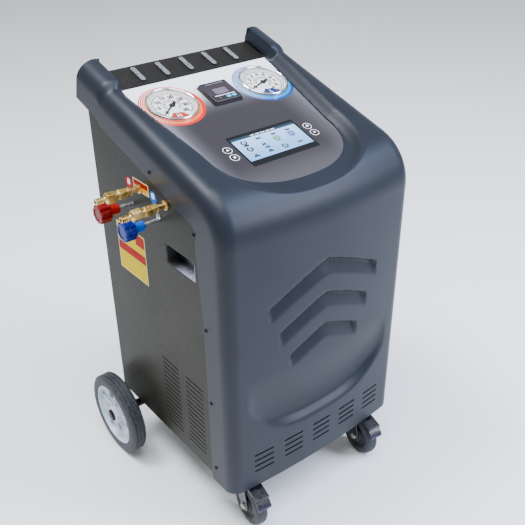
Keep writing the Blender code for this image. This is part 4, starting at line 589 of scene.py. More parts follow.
HEAD = [(0, -0.001), (0.0042, -0.001), (0.0042, 0.0005), (0.0036, 0.0017), (0.0024, 0.0024), (0, 0.0027)]
head = lathe("cover_screw", HEAD, Matrix(), 20)
socket = bmesh.new()
cutting_block(socket, circle(0.0016, 6), flat_place, 0.0008, 0.01)
cut_with(head, socket)
screws = []
for y, z in ((-0.097, 0.164), (-0.092, 0.337), (-0.088, 0.512), (-0.066, 0.706), (0.069, 0.7785)):
    screws.append(at(-COVER_HALF, y, z) @ TO_LEFT)
    screws.append(at(COVER_HALF, y, z) @ TO_RIGHT)
screws = joined("cover_screws", copies(head, screws))
bpy.data.objects.remove(head, do_unlink=True)

# Black zinc: dark with a faint satin gleam and small rubbed spots, drawn 1 mm wide.
black_zinc, tree, shader, where = finish("black_zinc_plate", "#17181B", 0.38, 0.75)
rub = node(tree, "TexNoise", Vector=where, Scale=900.0, Detail=2.0)
sway(tree, shader, rub, gloss=(0.28, 0.5), edges=None)
give(screws, black_zinc, "cabinet", "black_paint")

# Control panel: aluminium sheet under a printed satin overlay that shades from silver at the rear
# to nearly black in the middle. It lies in the cover's recess, cut out for all that it carries.
SIDE_RIGHT, SIDE_LEFT = 0.1135, -0.1135
GAUGE_W, PRINTER_W, DISPLAY_W = 0.1747, 0.1730, -0.0040
GAUGE_HOLE, KEY_HOLE, PRINTER_HOLE, DISPLAY_HOLE = 0.0498, 0.0082, 0.0313, (0.0813, 0.0463)
KEYS = ((-0.0985, 0.0105), (-0.0985, -0.0125), (0.0985, 0.0105), (0.0985, -0.0125))
PANEL = Matrix.Translation(on_panel(0, 0)) @ Matrix.Rotation(SLOPE, 4, "X")
panel = slab("printed_panel", panel_edge(0.0), -0.0025, 0.0, PANEL, 0.0004, 2)
holes = bmesh.new()
for x in (SIDE_LEFT, SIDE_RIGHT):
    cutting_block(holes, circle(GAUGE_HOLE, 64, (x, GAUGE_W)), on_panel, -0.01, 0.01)
for x, w in KEYS:
    cutting_block(holes, circle(KEY_HOLE, 32, (x, w)), on_panel, -0.01, 0.01)
cutting_block(holes, oblong(PRINTER_HOLE, PRINTER_HOLE, 0.002, (0, PRINTER_W)), on_panel, -0.01, 0.01)
cutting_block(holes, oblong(*DISPLAY_HOLE, 0.0015, (0, DISPLAY_W)), on_panel, -0.01, 0.01)
cut_with(panel, holes)
bpy.ops.object.shade_smooth_by_angle(angle=math.radians(30))


def measured(tree, where, direction, origin):
    """Distance of a point from an origin, measured along a direction."""
    moved = node(tree, "VectorMath", operation="SUBTRACT", _0=where, _1=tuple(origin))
    return node(tree, "VectorMath", "Value", operation="DOT_PRODUCT", _0=moved, _1=tuple(direction))


def distance(tree, x, w, middle_x, middle_w):
    """Distance on the panel from a middle point."""
    across = node(tree, "Math", operation="SUBTRACT", _0=x, _1=middle_x)
    along = node(tree, "Math", operation="SUBTRACT", _0=w, _1=middle_w)
    across_squared = node(tree, "Math", operation="MULTIPLY", _0=across, _1=across)
    squared = node(tree, "Math", operation="MULTIPLY_ADD", _0=along, _1=along, _2=across_squared)
    return node(tree, "Math", operation="SQRT", _0=squared)


def crossing(tree, value, start, end, low=0.0, high=1.0, times=1.0):
    """A share that passes from low to high while a value passes from start to end, multiplied by
    another share."""
    share = node(tree, "MapRange", interpolation_type="SMOOTHSTEP", Value=value, From_Min=start,
                 From_Max=end, To_Min=low, To_Max=high)
    return node(tree, "Math", operation="MULTIPLY", _0=share, _1=times)


def band(tree, value, low, high, soft=0.0004):
    """One between two limits and zero outside them."""
    return crossing(tree, value, low - soft, low + soft,
                    times=crossing(tree, value, high - soft, high + soft, 1.0, 0.0))


# Printed overlay: the shade deepens round the display, both gauges have a coloured ring printed
# about them, and every key a thin white one. Satin film, slightly uneven in gloss over 4 mm.
overlay, tree, shader, where = finish("printed_satin_overlay", "#808288", 0.36, Specular_IOR_Level=0.28)
x = measured(tree, where, (1, 0, 0), on_panel(0, 0))
w = measured(tree, where, (0, SLOPE_COS, SLOPE_SIN), on_panel(0, 0))
dark = crossing(tree, w, 0.110, 0.215, 1.0, 0.0)
dark = crossing(tree, x, -0.178, -0.112, 0.45, 1.0, dark)
dark = crossing(tree, x, 0.090, 0.175, 1.0, 0.62, dark)
dark = crossing(tree, w, -0.110, -0.030, 0.78, 1.0, dark)
print_colour = node(tree, "ValToRGB", _0=node(tree, "Math", operation="SUBTRACT", _0=1.0, _1=dark))
ramp = print_colour.node.color_ramp
ramp.elements[0].color = linear("#2C292D")
ramp.elements[1].color = linear("#E4E7EB")
for position, colour in ((0.25, "#454347"), (0.5, "#727277"), (0.75, "#A6A8AE")):
    ramp.elements.new(position).color = linear(colour)
LINE_PITCH, RING_INNER, RING_OUTER = 0.0019, 0.0500, 0.0664
for side, inner, outer, edge in (
        (SIDE_LEFT, "#DC6A3E", "#C01600", "#D03408"),
        (SIDE_RIGHT, "#1284BC", "#003C80", "#0460A8")):
    reach = distance(tree, x, w, side, GAUGE_W)
    across = node(tree, "Math", operation="SUBTRACT", _0=x, _1=side)
    along = node(tree, "Math", operation="SUBTRACT", _0=w, _1=GAUGE_W)
    slant = crossing(tree, node(tree, "Math", operation="SUBTRACT", _0=across, _1=along), -0.07, 0.05)
    ring = node(tree, "Mix", 2, data_type="RGBA", _0=slant, _6=edge, _7=outer)
    ring = node(tree, "Mix", 2, data_type="RGBA", _0=crossing(tree, reach, 0.0575, 0.0615), _6=inner, _7=ring)
    lines = node(tree, "Math", operation="SUBTRACT", _0=reach, _1=0.0535)
    lines = node(tree, "Math", operation="PINGPONG", _0=lines, _1=LINE_PITCH)
    lines = crossing(tree, lines, 0.55 * LINE_PITCH, 0.8 * LINE_PITCH, 0.0, 0.8,
                     node(tree, "Math", operation="SUBTRACT", _0=1.0, _1=slant))
    ring = node(tree, "Mix", 2, data_type="RGBA", _0=lines, _6=ring, _7="#F6F7F8")
    print_colour = node(tree, "Mix", 2, data_type="RGBA", _0=band(tree, reach, RING_INNER, RING_OUTER, 0.0009),
                        _6=print_colour, _7=ring)
for middle_x, middle_w in KEYS:
    line = band(tree, distance(tree, x, w, middle_x, middle_w), 0.0083, 0.0094, 0.0002)
    print_colour = node(tree, "Mix", 2, data_type="RGBA", _0=line, _6=print_colour, _7="#F4F5F6")
tree.links.new(print_colour, shader.inputs["Base Color"])
film = node(tree, "TexNoise", Vector=where, Scale=260.0, Detail=3.0)
sway(tree, shader, film, gloss=(0.30, 0.42), relief=(0.08, 0.0003))
give(panel, overlay, "cabinet", "panel_print", "control_panel")

# Pressure gauges: 100 mm class, a pressed steel case with a polished rolled bezel, a white printed
# dial, a balanced black pointer and a flat acrylic lens held under the bezel.
PRINT = 0.00008
GAUGE_SWEEP = 270


def stroke(points, breadth, low=0.0, high=PRINT):
    """A printed line along points, as a thin closed strip."""
    sides = []
    for sign in (1, -1):
        for i, (a, b) in enumerate(points):
            before = points[max(i - 1, 0)]
            after = points[min(i + 1, len(points) - 1)]
            length = math.hypot(after[0] - before[0], after[1] - before[1]) or 1.0
            across = (-(after[1] - before[1]) / length, (after[0] - before[0]) / length)
            sides.append((a + sign * across[0] * breadth / 2, b + sign * across[1] * breadth / 2))
    half = len(points)
    return slab("stroke", sides[:half] + sides[:half - 1:-1], low, high, Matrix())


def arc(radius, start, end, steps=48, middle=(0.0, 0.0)):
    """Points on an arc, in degrees."""
    turns = [math.radians(start + (end - start) * i / steps) for i in range(steps + 1)]
    return [(middle[0] + radius * math.cos(turn), middle[1] + radius * math.sin(turn)) for turn in turns]


def lettering(text, size, place, low=0.0, high=PRINT, weight=0.03):
    """Flat printed characters about a point."""
    bpy.ops.object.select_all(action="DESELECT")
    bpy.ops.object.text_add(location=(0, 0, 0))
    words = bpy.context.object
    words.data.body = text
    words.data.size = size
    words.data.offset = size * weight
    words.data.align_x = "CENTER"
    words.data.align_y = "CENTER"
    words.data.extrude = (high - low) / 2
    words.data.resolution_u = 3
    bpy.ops.object.convert(target="MESH")
    words = bpy.context.object
    words.data.transform(Matrix.Translation((place[0], place[1], (low + high) / 2)))
    return words


def ticks(name, rest, count, every, outer, minor, major, breadth):
    """A ring of scale marks over the gauge's sweep, modelled once and copied round."""
    marks = []
    for length, thick, main in ((major, 1.6 * breadth, True), (minor, breadth, False)):
        outline = oblong(length / 2, thick / 2, breadth / 4, (outer - length / 2, 0), 1)
        mark = slab("tick", outline, 0.0, PRINT, Matrix())
        turns = [rest - GAUGE_SWEEP * i / count for i in range(count + 1) if (i % every == 0) == main]
        marks += copies(mark, [Matrix.Rotation(math.radians(turn), 4, "Z") for turn in turns])
        bpy.data.objects.remove(mark, do_unlink=True)
    return joined(name, marks)


# Polished stainless: bright, its gloss broken by the marks of the polishing wheel. They are far
# finer than a pixel, and are drawn at 0.7 mm.
steel, tree, shader, where = finish("polished_stainless", "#D9D8D2", 0.14, 1.0)
lines = node(tree, "TexNoise", Vector=where, Scale=1400.0, Detail=1.0)
sway(tree, shader, lines, gloss=(0.09, 0.22))
# Dial enamel: warm white baked paint, a little uneven over 15 mm where it was sprayed.
enamel, tree, shader, where = finish("baked_white_enamel", "#FAF9F3", 0.45)
spray = node(tree, "TexNoise", Vector=where, Scale=60.0, Detail=2.0)
sway(tree, shader, spray, tones=("#F7F6F0", "#FDFCF8"))


def ink(name, colour, roughness=0.5):
    """Printing ink, slightly thinner in spots of 1.4 mm."""
    made, tree, shader, where = finish(name, colour, roughness)
    thin = node(tree, "TexNoise", Vector=where, Scale=700.0, Detail=2.0)
    sway(tree, shader, thin, gloss=(roughness - 0.08, roughness + 0.08), edges=(0.2, 0.8))
    share = node(tree, "Math", operation="MULTIPLY", _0=thin, _1=0.02)
    sway(tree, shader, share, tones=(colour, "#FFFFFF"), edges=None)
    return made


black_ink = ink("black_dial_ink", "#141414")
red_ink = ink("red_dial_ink", "#B82A10")
blue_ink = ink("blue_dial_ink", "#06246A")
white_ink = ink("white_ink", "#F4F4F2")
# Pointer lacquer: flat black, so it reads against the white dial without glare, dusty at 1.3 mm.
lacquer, tree, shader, where = finish("flat_black_lacquer", "#0F1011", 0.55)
dust = node(tree, "TexNoise", Vector=where, Scale=800.0)
sway(tree, shader, dust, gloss=(0.45, 0.65))
# Acrylic lens: nearly clear, with only its surface gloss and a trace of haze in patches of 25 mm.
acrylic, tree, shader, where = finish("clear_acrylic", "#0C0E10", 0.06, Alpha=0.08, IOR=1.49)
haze = node(tree, "TexNoise", Vector=where, Scale=40.0, Detail=2.0)
sway(tree, shader, haze, gloss=(0.03, 0.10))
CASE = [(0, -0.038), (0.047, -0.038), (0.0495, -0.0355), (0.0495, 0.0003), (0.0535, 0.0003),
        (0.0535, 0.0044), (0.0529, 0.0062), (0.0516, 0.0073), (0.0503, 0.0075), (0.0493, 0.0068),
        (0.0489, 0.0056), (0.0489, -0.0033), (0, -0.0033)]
DIAL = [(0, -0.0063), (0.0486, -0.0063), (0.0486, -0.0020), (0.0015, -0.0020), (0.0015, -0.0008), (0, -0.0008)]
DIAL_LIFT, DIAL_TOP = 0.0030, -0.0020
NUMBER_RADIUS, WEDGE_TURN = 0.0285, -0.14
for tag, side, rest, numbers, fine, colour_ink, letter in (
        ("high", SIDE_LEFT, 218.0, range(0, 40, 5), 5, red_ink, "H"),
        ("low", SIDE_RIGHT, 200.0, range(10), 4, blue_ink, "L")):
    seat = PANEL @ Matrix.Translation((side, GAUGE_W, 0))
    give(lathe(f"{tag}_gauge_bezel", CASE, seat, 96, 30), steel, "cabinet", "chrome_case", f"{tag}_gauge_case")
    lens = slab(f"{tag}_lens", circle(0.0487, 96), 0.0053, 0.0067, seat)
    give(lens, acrylic, "cabinet", "clear_lens", f"{tag}_gauge_lens")
    seat = seat @ Matrix.Translation((0, 0, DIAL_LIFT))
    give(lathe(f"{tag}_gauge_face", DIAL, seat, 96, 30), enamel, "cabinet", "dial_white", f"{tag}_gauge_dial")
    steps = len(numbers) - 1
    last = rest - GAUGE_SWEEP
    marks = [ticks("marks", rest, steps * fine, fine, 0.0400, 0.0040, 0.0062, 0.0013),
             ticks("marks", rest, 20, 5, 0.0190, 0.0030, 0.0045, 0.0013),
             stroke(arc(0.0402, rest, last), 0.0014), stroke(arc(0.0145, rest, last), 0.0014)]
    for i, number in enumerate(numbers):
        angle = math.radians(rest - GAUGE_SWEEP * i / steps)
        place = (NUMBER_RADIUS * math.cos(angle), NUMBER_RADIUS * math.sin(angle))
        marks.append(lettering(str(number), 0.0125, place, weight=0.06))
    marks = joined(f"{tag}_dial_scale", marks)
    marks.data.transform(seat @ Matrix.Translation((0, 0, DIAL_TOP + 0.00002)))
    give(marks, black_ink, "cabinet", "pointer_black")
    rings = [stroke(arc(0.0445, rest, last), 0.0014), stroke(arc(0.0205, rest - 20, last + 20), 0.0010)]
    rings = joined(f"{tag}_dial_rings", rings)
    rings.data.transform(seat @ Matrix.Translation((0, 0, DIAL_TOP + 0.00001)))
    give(rings, colour_ink, "cabinet", "dial_white")
    wedge_seat = seat @ Matrix.Rotation(WEDGE_TURN, 4, "Z")
    spread = arc(0.0440, -118, -62, 12) + arc(0.0255, -70, -110, 8)
    wedge = slab(f"{tag}_dial_wedge", spread, DIAL_TOP + 0.00001, DIAL_TOP + 0.0001, wedge_seat)
    give(wedge, colour_ink, "cabinet", "dial_white")
    initial = lettering(letter, 0.0140, (0.0, -0.0348), DIAL_TOP + 0.0001, DIAL_TOP + 0.00018)
    initial.name = f"{tag}_wedge_letter"
    initial.data.transform(wedge_seat)
    give(initial, white_ink, "cabinet", "dial_white")
    half = [(-0.0150, 0.0024), (-0.0125, 0.0032), (-0.0055, 0.0016)] + arc(0.0060, 164, 16, 10)
    half += [(0.0080, 0.0017), (0.040, 0.0006)]
    blade = half + [(a, -b) for a, b in reversed(half)]
    needle = slab(f"{tag}_needle", blade, -0.0016, -0.0008, Matrix(), 0.00015, 1)
    eye = bmesh.new()
    cutting_block(eye, circle(0.0019, 20), flat_place, -0.01, 0.01)
    cut_with(needle, eye)
    cap = lathe("pointer_cap", [(0.0019, -0.0008), (0.0044, -0.0008), (0.0042, 0.0004), (0.0034, 0.0010),
                                (0.0019, 0.0011)], Matrix(), 28)
    needle = joined(f"{tag}_needle", [needle, cap])
    needle.data.transform(seat @ Matrix.Rotation(math.radians(rest), 4, "Z"))
    give(needle, lacquer, f"{tag}_pointer", "pointer_black", f"{tag}_gauge_pointer")

# Display: a 7 inch colour screen behind one flat pane of glass with a black printed border. The
# lit picture is a plain menu: a dark title bar over rows of rings, bars, discs and drops.
GLASS_HALF, GLASS_TALL = 0.081, 0.046
outline = oblong(GLASS_HALF, GLASS_TALL, 0.0012, (0, DISPLAY_W))
pane = slab("display_pane", outline, -0.0022, 0.0, PANEL, 0.0003, 2)
# Screen glass: black border round a lit picture, which glows softly and evenly under the gloss.
screen, tree, shader, where = finish("lit_screen_glass", "#0B1013", 0.12, Specular_IOR_Level=0.3)
x = measured(tree, where, (1, 0, 0), on_panel(0, 0))
w = measured(tree, where, (0, SLOPE_COS, SLOPE_SIN), on_panel(0, 0))
across = band(tree, x, -0.077, 0.077)
lit = node(tree, "Math", operation="MULTIPLY", _0=across, _1=band(tree, w, -0.0355, 0.0345))
rise = crossing(tree, w, -0.036, 0.036)
picture = node(tree, "Mix", 2, data_type="RGBA", _0=rise, _6="#7099C4", _7="#98B8DC")
picture = node(tree, "Mix", 2, data_type="RGBA", _0=band(tree, w, 0.0275, 0.04), _6=picture, _7="#20343F")
sway(tree, shader, lit, tones=("#0B1013", picture), edges=None)
glow = node(tree, "Mix", 2, data_type="RGBA", _0=lit, _6="#000000", _7=picture)
tree.links.new(glow, shader.inputs["Emission Color"])
shader.inputs["Emission Strength"].default_value = 0.19
give(pane, screen, "cabinet", "screen_glass", "display_glass")
SYMBOLS = {
    ink("grey_symbols", "#17242C", 0.3): [
        ("ring", -0.056, 0.0165), ("bars", -0.0205, 0.019), ("bars", 0.016, 0.019), ("bars", 0.052, 0.019),
        ("ring", -0.056, -0.004), ("cross", -0.021, -0.002), ("bars", -0.056, 0.0085),
        ("bars", -0.02, -0.0105)],
    ink("green_symbols", "#1A7A14", 0.3): [("disc", 0.0147, 0.0032)],
    blue_ink: [("disc", 0.0516, 0.0045)],
    ink("teal_symbols", "#06414C", 0.3): [
        ("drop", -0.056, -0.0245), ("drop", -0.0205, -0.0225), ("ring", 0.0147, -0.0225),
        ("bars", 0.0515, -0.0225)]}
DROP = [(-0.008, -0.004), (0.008, -0.004), (0.004, 0.001), (0, 0.0055), (-0.004, 0.001)]


def symbol(kind, a, b):
    """The strokes of one symbol about a point."""
    if kind == "ring":
        hand = stroke([(a, b), (a + 0.003, b + 0.003)], 0.0016)
        return [stroke(arc(0.0054, 90, 410, 24, (a, b)), 0.0034), hand]
    if kind == "bars":
        return [stroke([(a - 0.006, b), (a + 0.006, b)], 0.0022),
                stroke([(a - 0.005, b - 0.0022), (a + 0.006, b - 0.0022)], 0.0022)]
    if kind == "cross":
        return [stroke([(a - 0.005, b - rise), (a + 0.005, b + rise)], 0.0028) for rise in (0.003, -0.003)]
    if kind == "disc":
        return [slab("disc", circle(0.0060, 28, (a, b)), 0.0, PRINT, Matrix()),
                stroke(arc(0.0080, 0, 350, 32, (a, b)), 0.0013)]
    return [slab("drop", [(a + across, b + along) for across, along in DROP], 0.0, PRINT, Matrix())]


for colour, (made, group) in zip(("grey", "green", "blue", "teal"), SYMBOLS.items()):
    symbols = joined(f"{colour}_symbols", [piece for kind, a, b in group for piece in symbol(kind, a, b)])
    symbols.data.transform(PANEL @ Matrix.Translation((0, 0, 0.00002)))
    give(symbols, made, "cabinet", "screen_glass")
whites = [stroke(arc(0.0021, 0, 350, 20, (a, b)), 0.0009) for a, b in ((0.0147, 0.0032), (0.0516, 0.0045))]
whites += [stroke([(0.0125 * i - 0.030, 0.0312), (0.0125 * i - 0.0205, 0.0312)], 0.0019) for i in range(5)]
whites = joined("white_symbols", whites)
whites.data.transform(PANEL @ Matrix.Translation((0, 0, 0.00012)))
give(whites, white_ink, "cabinet", "screen_glass")

# Round keys: four moulded buttons in the panel, each with a shallow dished top and a white printed
# symbol that says no more than up, stop, pause and play.
CAP = [(0, -0.0039), (0.0090, -0.0039), (0.0090, -0.0029), (0.0078, -0.0029), (0.0078, 0.0001),
       (0.0075, 0.0005), (0.0069, 0.0006), (0.0052, 0.0004), (0, 0.00025)]
key_shape = lathe("key", CAP, Matrix(), 48)
# Key plastic: dark grey with the fine grain of an eroded mould, 0.1 mm drawn at 0.7 mm.
key_plastic, tree, shader, where = finish("satin_key_plastic", "#1C1A1E", 0.4, Specular_IOR_Level=0.3)
grain = node(tree, "TexNoise", Vector=where, Scale=1500.0, Detail=2.0)
sway(tree, shader, grain, gloss=(0.34, 0.5), relief=(0.15, 0.0002))
SIGNS = {
    "left_upper": [[(-0.0034, -0.0022), (0.0034, -0.0022), (0.0, 0.0036)]],
    "left_lower": [oblong(0.0025, 0.0025, 0.0006)],
    "right_upper": [oblong(0.0010, 0.0030, 0.0003, (a, 0)) for a in (-0.0019, 0.0019)],
    "right_lower": [[(-0.0020, -0.0032), (0.0034, 0.0), (-0.0020, 0.0032)]]}
for (x, w), tag, body in zip(KEYS, SIGNS, ("key_lu", "key_ll", "key_ru", "key_rl")):
    seat = PANEL @ Matrix.Translation((x, w, 0))
    cap = copies(key_shape, [seat])[0]
    cap.name = f"round_key_{tag}"
    give(cap, key_plastic, body, "key_plastic", f"key_{tag}")
    sign = joined(f"key_sign_{tag}", [slab("sign", outline, 0, 0.00012, Matrix()) for outline in SIGNS[tag]])
    sign.data.transform(seat @ Matrix.Translation((0, 0, 0.0005)))
    give(sign, white_ink, body, "key_plastic")
bpy.data.objects.remove(key_shape, do_unlink=True)

# Printer: a panel printer in a tapered black bezel. The smoked door over the paper roll hinges at
# the rear, the paper leaves over a white tear bar, and two small keys sit on the front strip.
PRINTER_HALF, PROUD = 0.0350, 0.0095
strip_w = PRINTER_W - PRINTER_HALF + 0.0108
strip_end = PRINTER_W - PRINTER_HALF + 0.0200
door_middle = PRINTER_W - 0.0005
door_low, door_high, door_wide = strip_end + 0.0004, PRINTER_W + 0.0266, 0.0306
outline = oblong(PRINTER_HALF, PRINTER_HALF, 0.003, (0, PRINTER_W))
bezel = slab("printer_bezel", outline, 0.0003, PROUD, Matrix())
for vertex in bezel.data.vertices:
    share = 1 - 0.0030 / PRINTER_HALF * (vertex.co.z / PROUD)
    vertex.co.x *= share
    vertex.co.y = PRINTER_W + (vertex.co.y - PRINTER_W) * share
select_only(bezel)
step = bezel.modifiers.new("edges", "BEVEL")
step.width = 0.0009
step.segments = 3
step.limit_method = "ANGLE"
bpy.ops.object.modifier_apply(modifier="edges")
neck = slab("printer_neck", oblong(0.0307, 0.0307, 0.0015, (0, PRINTER_W)), -0.044, 0.0010, Matrix())
bezel = joined("printer_bezel", [bezel, neck])
well = bmesh.new()
cutting_block(well, oblong(door_wide + 0.0004, (door_high - strip_end) / 2 + 0.0006, 0.001,
                           (0, (door_high + strip_end) / 2)), flat_place, PROUD - 0.0032, 0.02)
cutting_block(well, oblong(0.0262, 0.0185, 0.001, (0, strip_end + 0.0215)), flat_place, -0.0412, PROUD - 0.0032)
for a in (0.004, 0.0175):
    cutting_block(well, oblong(0.0054, 0.0037, 0.0008, (a, strip_w)), flat_place, 0.0044, 0.02)
cutting_block(well, oblong(0.0011, 0.0011, 0.0009, (-0.0165, strip_w), 4), flat_place, 0.0085, 0.02)
cut_with(bezel, well)
bezel.data.transform(PANEL)
bpy.ops.object.shade_smooth_by_angle(angle=math.radians(30))
# Printer plastic: near black with a violet cast and a soft grain that catches light on the edges.
# The grain is drawn at 1 mm, coarser than it is.
printer_plastic, tree, shader, where = finish("violet_black_abs", "#1B171D", 0.38)
grain = node(tree, "TexNoise", Vector=where, Scale=900.0, Detail=3.0)
sway(tree, shader, grain, gloss=(0.30, 0.48))
sway(tree, shader, grain, tones=("#161318", "#221D25"), edges=None)
give(bezel, printer_plastic, "cabinet", "black_plastic", "printer_body")
outline = oblong(door_wide, (door_high - door_low) / 2, 0.0014, (0, (door_high + door_low) / 2))
door = slab("printer_lid", outline, PROUD - 0.0025, PROUD + 0.0002, Matrix(), 0.0005, 2)
window = bmesh.new()
cutting_block(window, oblong(0.0165, 0.0098, 0.0015, (0, door_middle)), flat_place, PROUD - 0.0007, 0.02)
cutting_block(window, oblong(0.0032, 0.0014, 0.0012, (0, door_high - 0.0040)), flat_place, PROUD - 0.0006, 0.02)
cut_with(door, window)
hinge = Matrix.Translation((0, door_high - 0.0014, PROUD - 0.0004)) @ TO_RIGHT
knuckle = slab("lid_knuckle", circle(0.0021, 24), -0.022, 0.022, hinge)
door = joined("printer_lid", [door, knuckle])
door.data.transform(PANEL)
# Smoked lid: dark polycarbonate, glossier than the bezel, with rubbed patches of 6 mm.
smoked, tree, shader, where = finish("smoked_polycarbonate", "#2B232B", 0.2, Specular_IOR_Level=0.6)
marks = node(tree, "TexNoise", Vector=where, Scale=160.0, Detail=4.0)
sway(tree, shader, marks, gloss=(0.26, 0.34), edges=(0.35, 0.7))
give(door, smoked, "door", "smoked_door", "printer_door")
glazing = slab("lid_window", oblong(0.0161, 0.0094, 0.0013, (0, door_middle)), PROUD - 0.0007, PROUD - 0.0001,
               PANEL, 0.0002, 1)
# Window: violet grey acrylic that shows the pale paper behind it as a dull sheen, cloudy over
# 18 mm.
tinted, tree, shader, where = finish("violet_window", "#5C5060", 0.12, Coat_Weight=0.4)
veil = node(tree, "TexNoise", Vector=where, Scale=55.0, Detail=2.0)
sway(tree, shader, veil, tones=("#4D4250", "#6F6274"), edges=None)
give(glazing, tinted, "door", "smoked_door")
bar = slab("tear_bar", oblong(0.0245, 0.0009, 0.0003, (0, strip_end - 0.0013)), PROUD - 0.0004, PROUD + 0.0004,
           PANEL, 0.0002, 1)
# Tear bar: white nylon with a slightly waxy gloss that wavers over 3 mm.
nylon, tree, shader, where = finish("white_nylon", "#E3E3E6", 0.35, Subsurface_Weight=0.05)
wax = node(tree, "TexNoise", Vector=where, Scale=300.0, Detail=2.0)
sway(tree, shader, wax, gloss=(0.28, 0.44))
give(bar, nylon, "cabinet", "paper")
# Key caps: translucent silicone, lit from behind, a little cloudy over 2.5 mm.
cyan, tree, shader, where = finish("cyan_silicone", "#2BA9C4", 0.45, Emission_Strength=0.15,
                                   Emission_Color="#35C4E8")
soft = node(tree, "TexNoise", Vector=where, Scale=400.0, Detail=2.0)
sway(tree, shader, soft, tones=("#2095B0", "#52C3DA"), edges=None)
for x, tag in ((0.004, "feed"), (0.0175, "select")):
    button = slab(f"printer_button_{tag}", oblong(0.0049, 0.0032, 0.0011, (x, strip_w)), 0.0058, PROUD + 0.0011,
                  PANEL, 0.0005, 3)
    give(button, cyan, f"{tag}_key", "feed_key_plastic", f"printer_{tag}_key")
# Lamp: an amber lens with a faint glow and a grainy core.
LAMP = [(0, 0.0086), (0.0010, 0.0086), (0.0010, 0.0097), (0.0007, 0.0101), (0, 0.0102)]
lamp_cap = lathe("printer_lamp", LAMP, PANEL @ Matrix.Translation((-0.0165, strip_w, 0)), 20)
amber, tree, shader, where = finish("amber_lamp", "#C06A2E", 0.3, Emission_Strength=0.1)
core = node(tree, "TexNoise", Vector=where, Scale=900.0)
sway(tree, shader, core, tones=("#A85420", "#D88848"), edges=None)
give(lamp_cap, amber, "cabinet", "feed_key_plastic")
roll_low, roll_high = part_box("paper_roll")
middle = (roll_low + roll_high) / 2
layers = [(0.0062, -0.0249), (0.0158, -0.0249)]
for i in range(14):
    layers.append((0.01585 if i % 2 else 0.0159, -0.0249 + 0.0498 * (i + 1) / 15))
layers += [(0.0158, 0.0249), (0.0062, 0.0249)]
roll = lathe("thermal_roll", layers, Matrix.Translation(middle) @ TO_RIGHT, 64)
# Thermal paper: smooth, bluish white, with the faint edges of its windings and a 2 mm mottle.
paper, tree, shader, where = finish("thermal_paper", "#ECEDEE", 0.6)
fibre = node(tree, "TexNoise", Vector=where, Scale=500.0, Detail=4.0)
sway(tree, shader, fibre, tones=("#DFE0E3", "#F4F4F2"), edges=None)
give(roll, paper, "roll", "paper", "paper_roll")

# Rear tray: a moulding of coarse grained black ABS between the cheeks of the cover. Five raised
# ribs keep tools and gloves off its floor, and their tops carry a painted highlight in pale grey.
SIDEWAYS = Matrix(((0, 0, 1, 0), (1, 0, 0, 0), (0, 1, 0, 0), (0, 0, 0, 1)))
TRAY_WALL, SKIRT_LOW, SKIRT_FOOT = 0.0030, 0.8400, BODY_BACK + GAP
tray_rear = crest(0.3310, 0)
inner_y = tray_rear[0] - TRAY_WALL
inner_z = tray_rear[1] - TRAY_WALL / SLOPE_COS - TRAY_WALL * math.tan(SLOPE)
outline = [crest(tray_front, 0), tray_rear, (tray_rear[0], SKIRT_LOW), (SKIRT_FOOT, SKIRT_LOW),
           (SKIRT_FOOT, SKIRT_LOW + TRAY_WALL), (inner_y, SKIRT_LOW + TRAY_WALL), (inner_y, inner_z),
           crest(tray_front, -TRAY_WALL)]
tray = slab("ribbed_tray", outline, -TRAY_HALF, TRAY_HALF, at(0, 0, 0) @ SIDEWAYS, 0.0007, 2)
# Coarse ABS: black brown with a leather grain of 1.4 mm, deep enough to sparkle where light grazes
# it, and with dusty specks of 2.4 mm.
coarse_abs, tree, shader, where = finish("coarse_grained_abs", "#12110F", 0.5, Specular_IOR_Level=0.2)
leather = node(tree, "TexVoronoi", Vector=where, Scale=720.0)
speck = node(tree, "TexNoise", Vector=where, Scale=420.0, Detail=4.0)
sway(tree, shader, speck, tones=("#0C0B0A", "#211F1C"), edges=(0.35, 0.75))
sway(tree, shader, speck, gloss=(0.36, 0.60))
sway(tree, shader, leather, relief=(0.5, 0.0009))
give(tray, coarse_abs, "cabinet", "tray_plastic", "rear_tray")
rib = slab("tray_rib", oblong(0.0055, 0.0250, 0.0042), -0.0005, 0.0040, Matrix(), 0.0016, 3)
places = [PANEL @ Matrix.Translation(((i - 2) * 0.0585, 0.2960, 0)) for i in range(5)]
ribs = joined("tray_ribs", copies(rib, places))
bpy.data.objects.remove(rib, do_unlink=True)
# Rib plastic: the same dark ABS, with a painted highlight that turns the tops of the ribs pale grey in patches
# of 4 mm.
rib_highlight_abs, tree, shader, where = finish("abs_with_painted_rib_highlight", "#8B8D90", 0.4)
level = measured(tree, where, (0, -SLOPE_SIN, SLOPE_COS), on_panel(0, 0))
blotches = node(tree, "TexNoise", Vector=where, Scale=240.0, Detail=4.0)
# Painted highlight: the tops of the ribs turn pale grey, in patches, where they catch the light.
painted_rib_highlight = crossing(tree, level, 0.0012, 0.0036, times=crossing(tree, blotches, 0.25, 0.55))
sway(tree, shader, painted_rib_highlight, tones=("#262624", "#6A6E72"), edges=None)
sway(tree, shader, blotches, gloss=(0.28, 0.5))
give(ribs, rib_highlight_abs, "cabinet", "tray_plastic")

# Side panels: 1.5 mm steel sheet, folded at the rear, with two columns of punched air slots, the
# opening of the grip pocket and, on the left, holes for the unions and the valve stems.
SHEET = 0.0015
POCKET_Y, POCKET_Z = -0.0100, 0.6220
SIDE_FRONT, SIDE_LOW, SIDE_CHAMFER = -0.118, 0.133, 0.059
PORTS = (("low", 0.025), ("high", 0.118))
PORT_Z, KNOB_BEHIND, KNOB_Z = 0.7280, 0.0330, 0.6840


def side_top(y):
    """Height of a side panel's upper edge."""
    return 0.76 + y * math.tan(SLOPE)


def upright(a, b, level):
    """Place (x, y) measured from the station's middle, at a height."""
    return Vector((a, b, level)) + MIDDLE


def through_side(a, b, level):
    """Place (y, z) on a side panel, at a distance out from the middle."""
    return Vector((level, a, b)) + MIDDLE


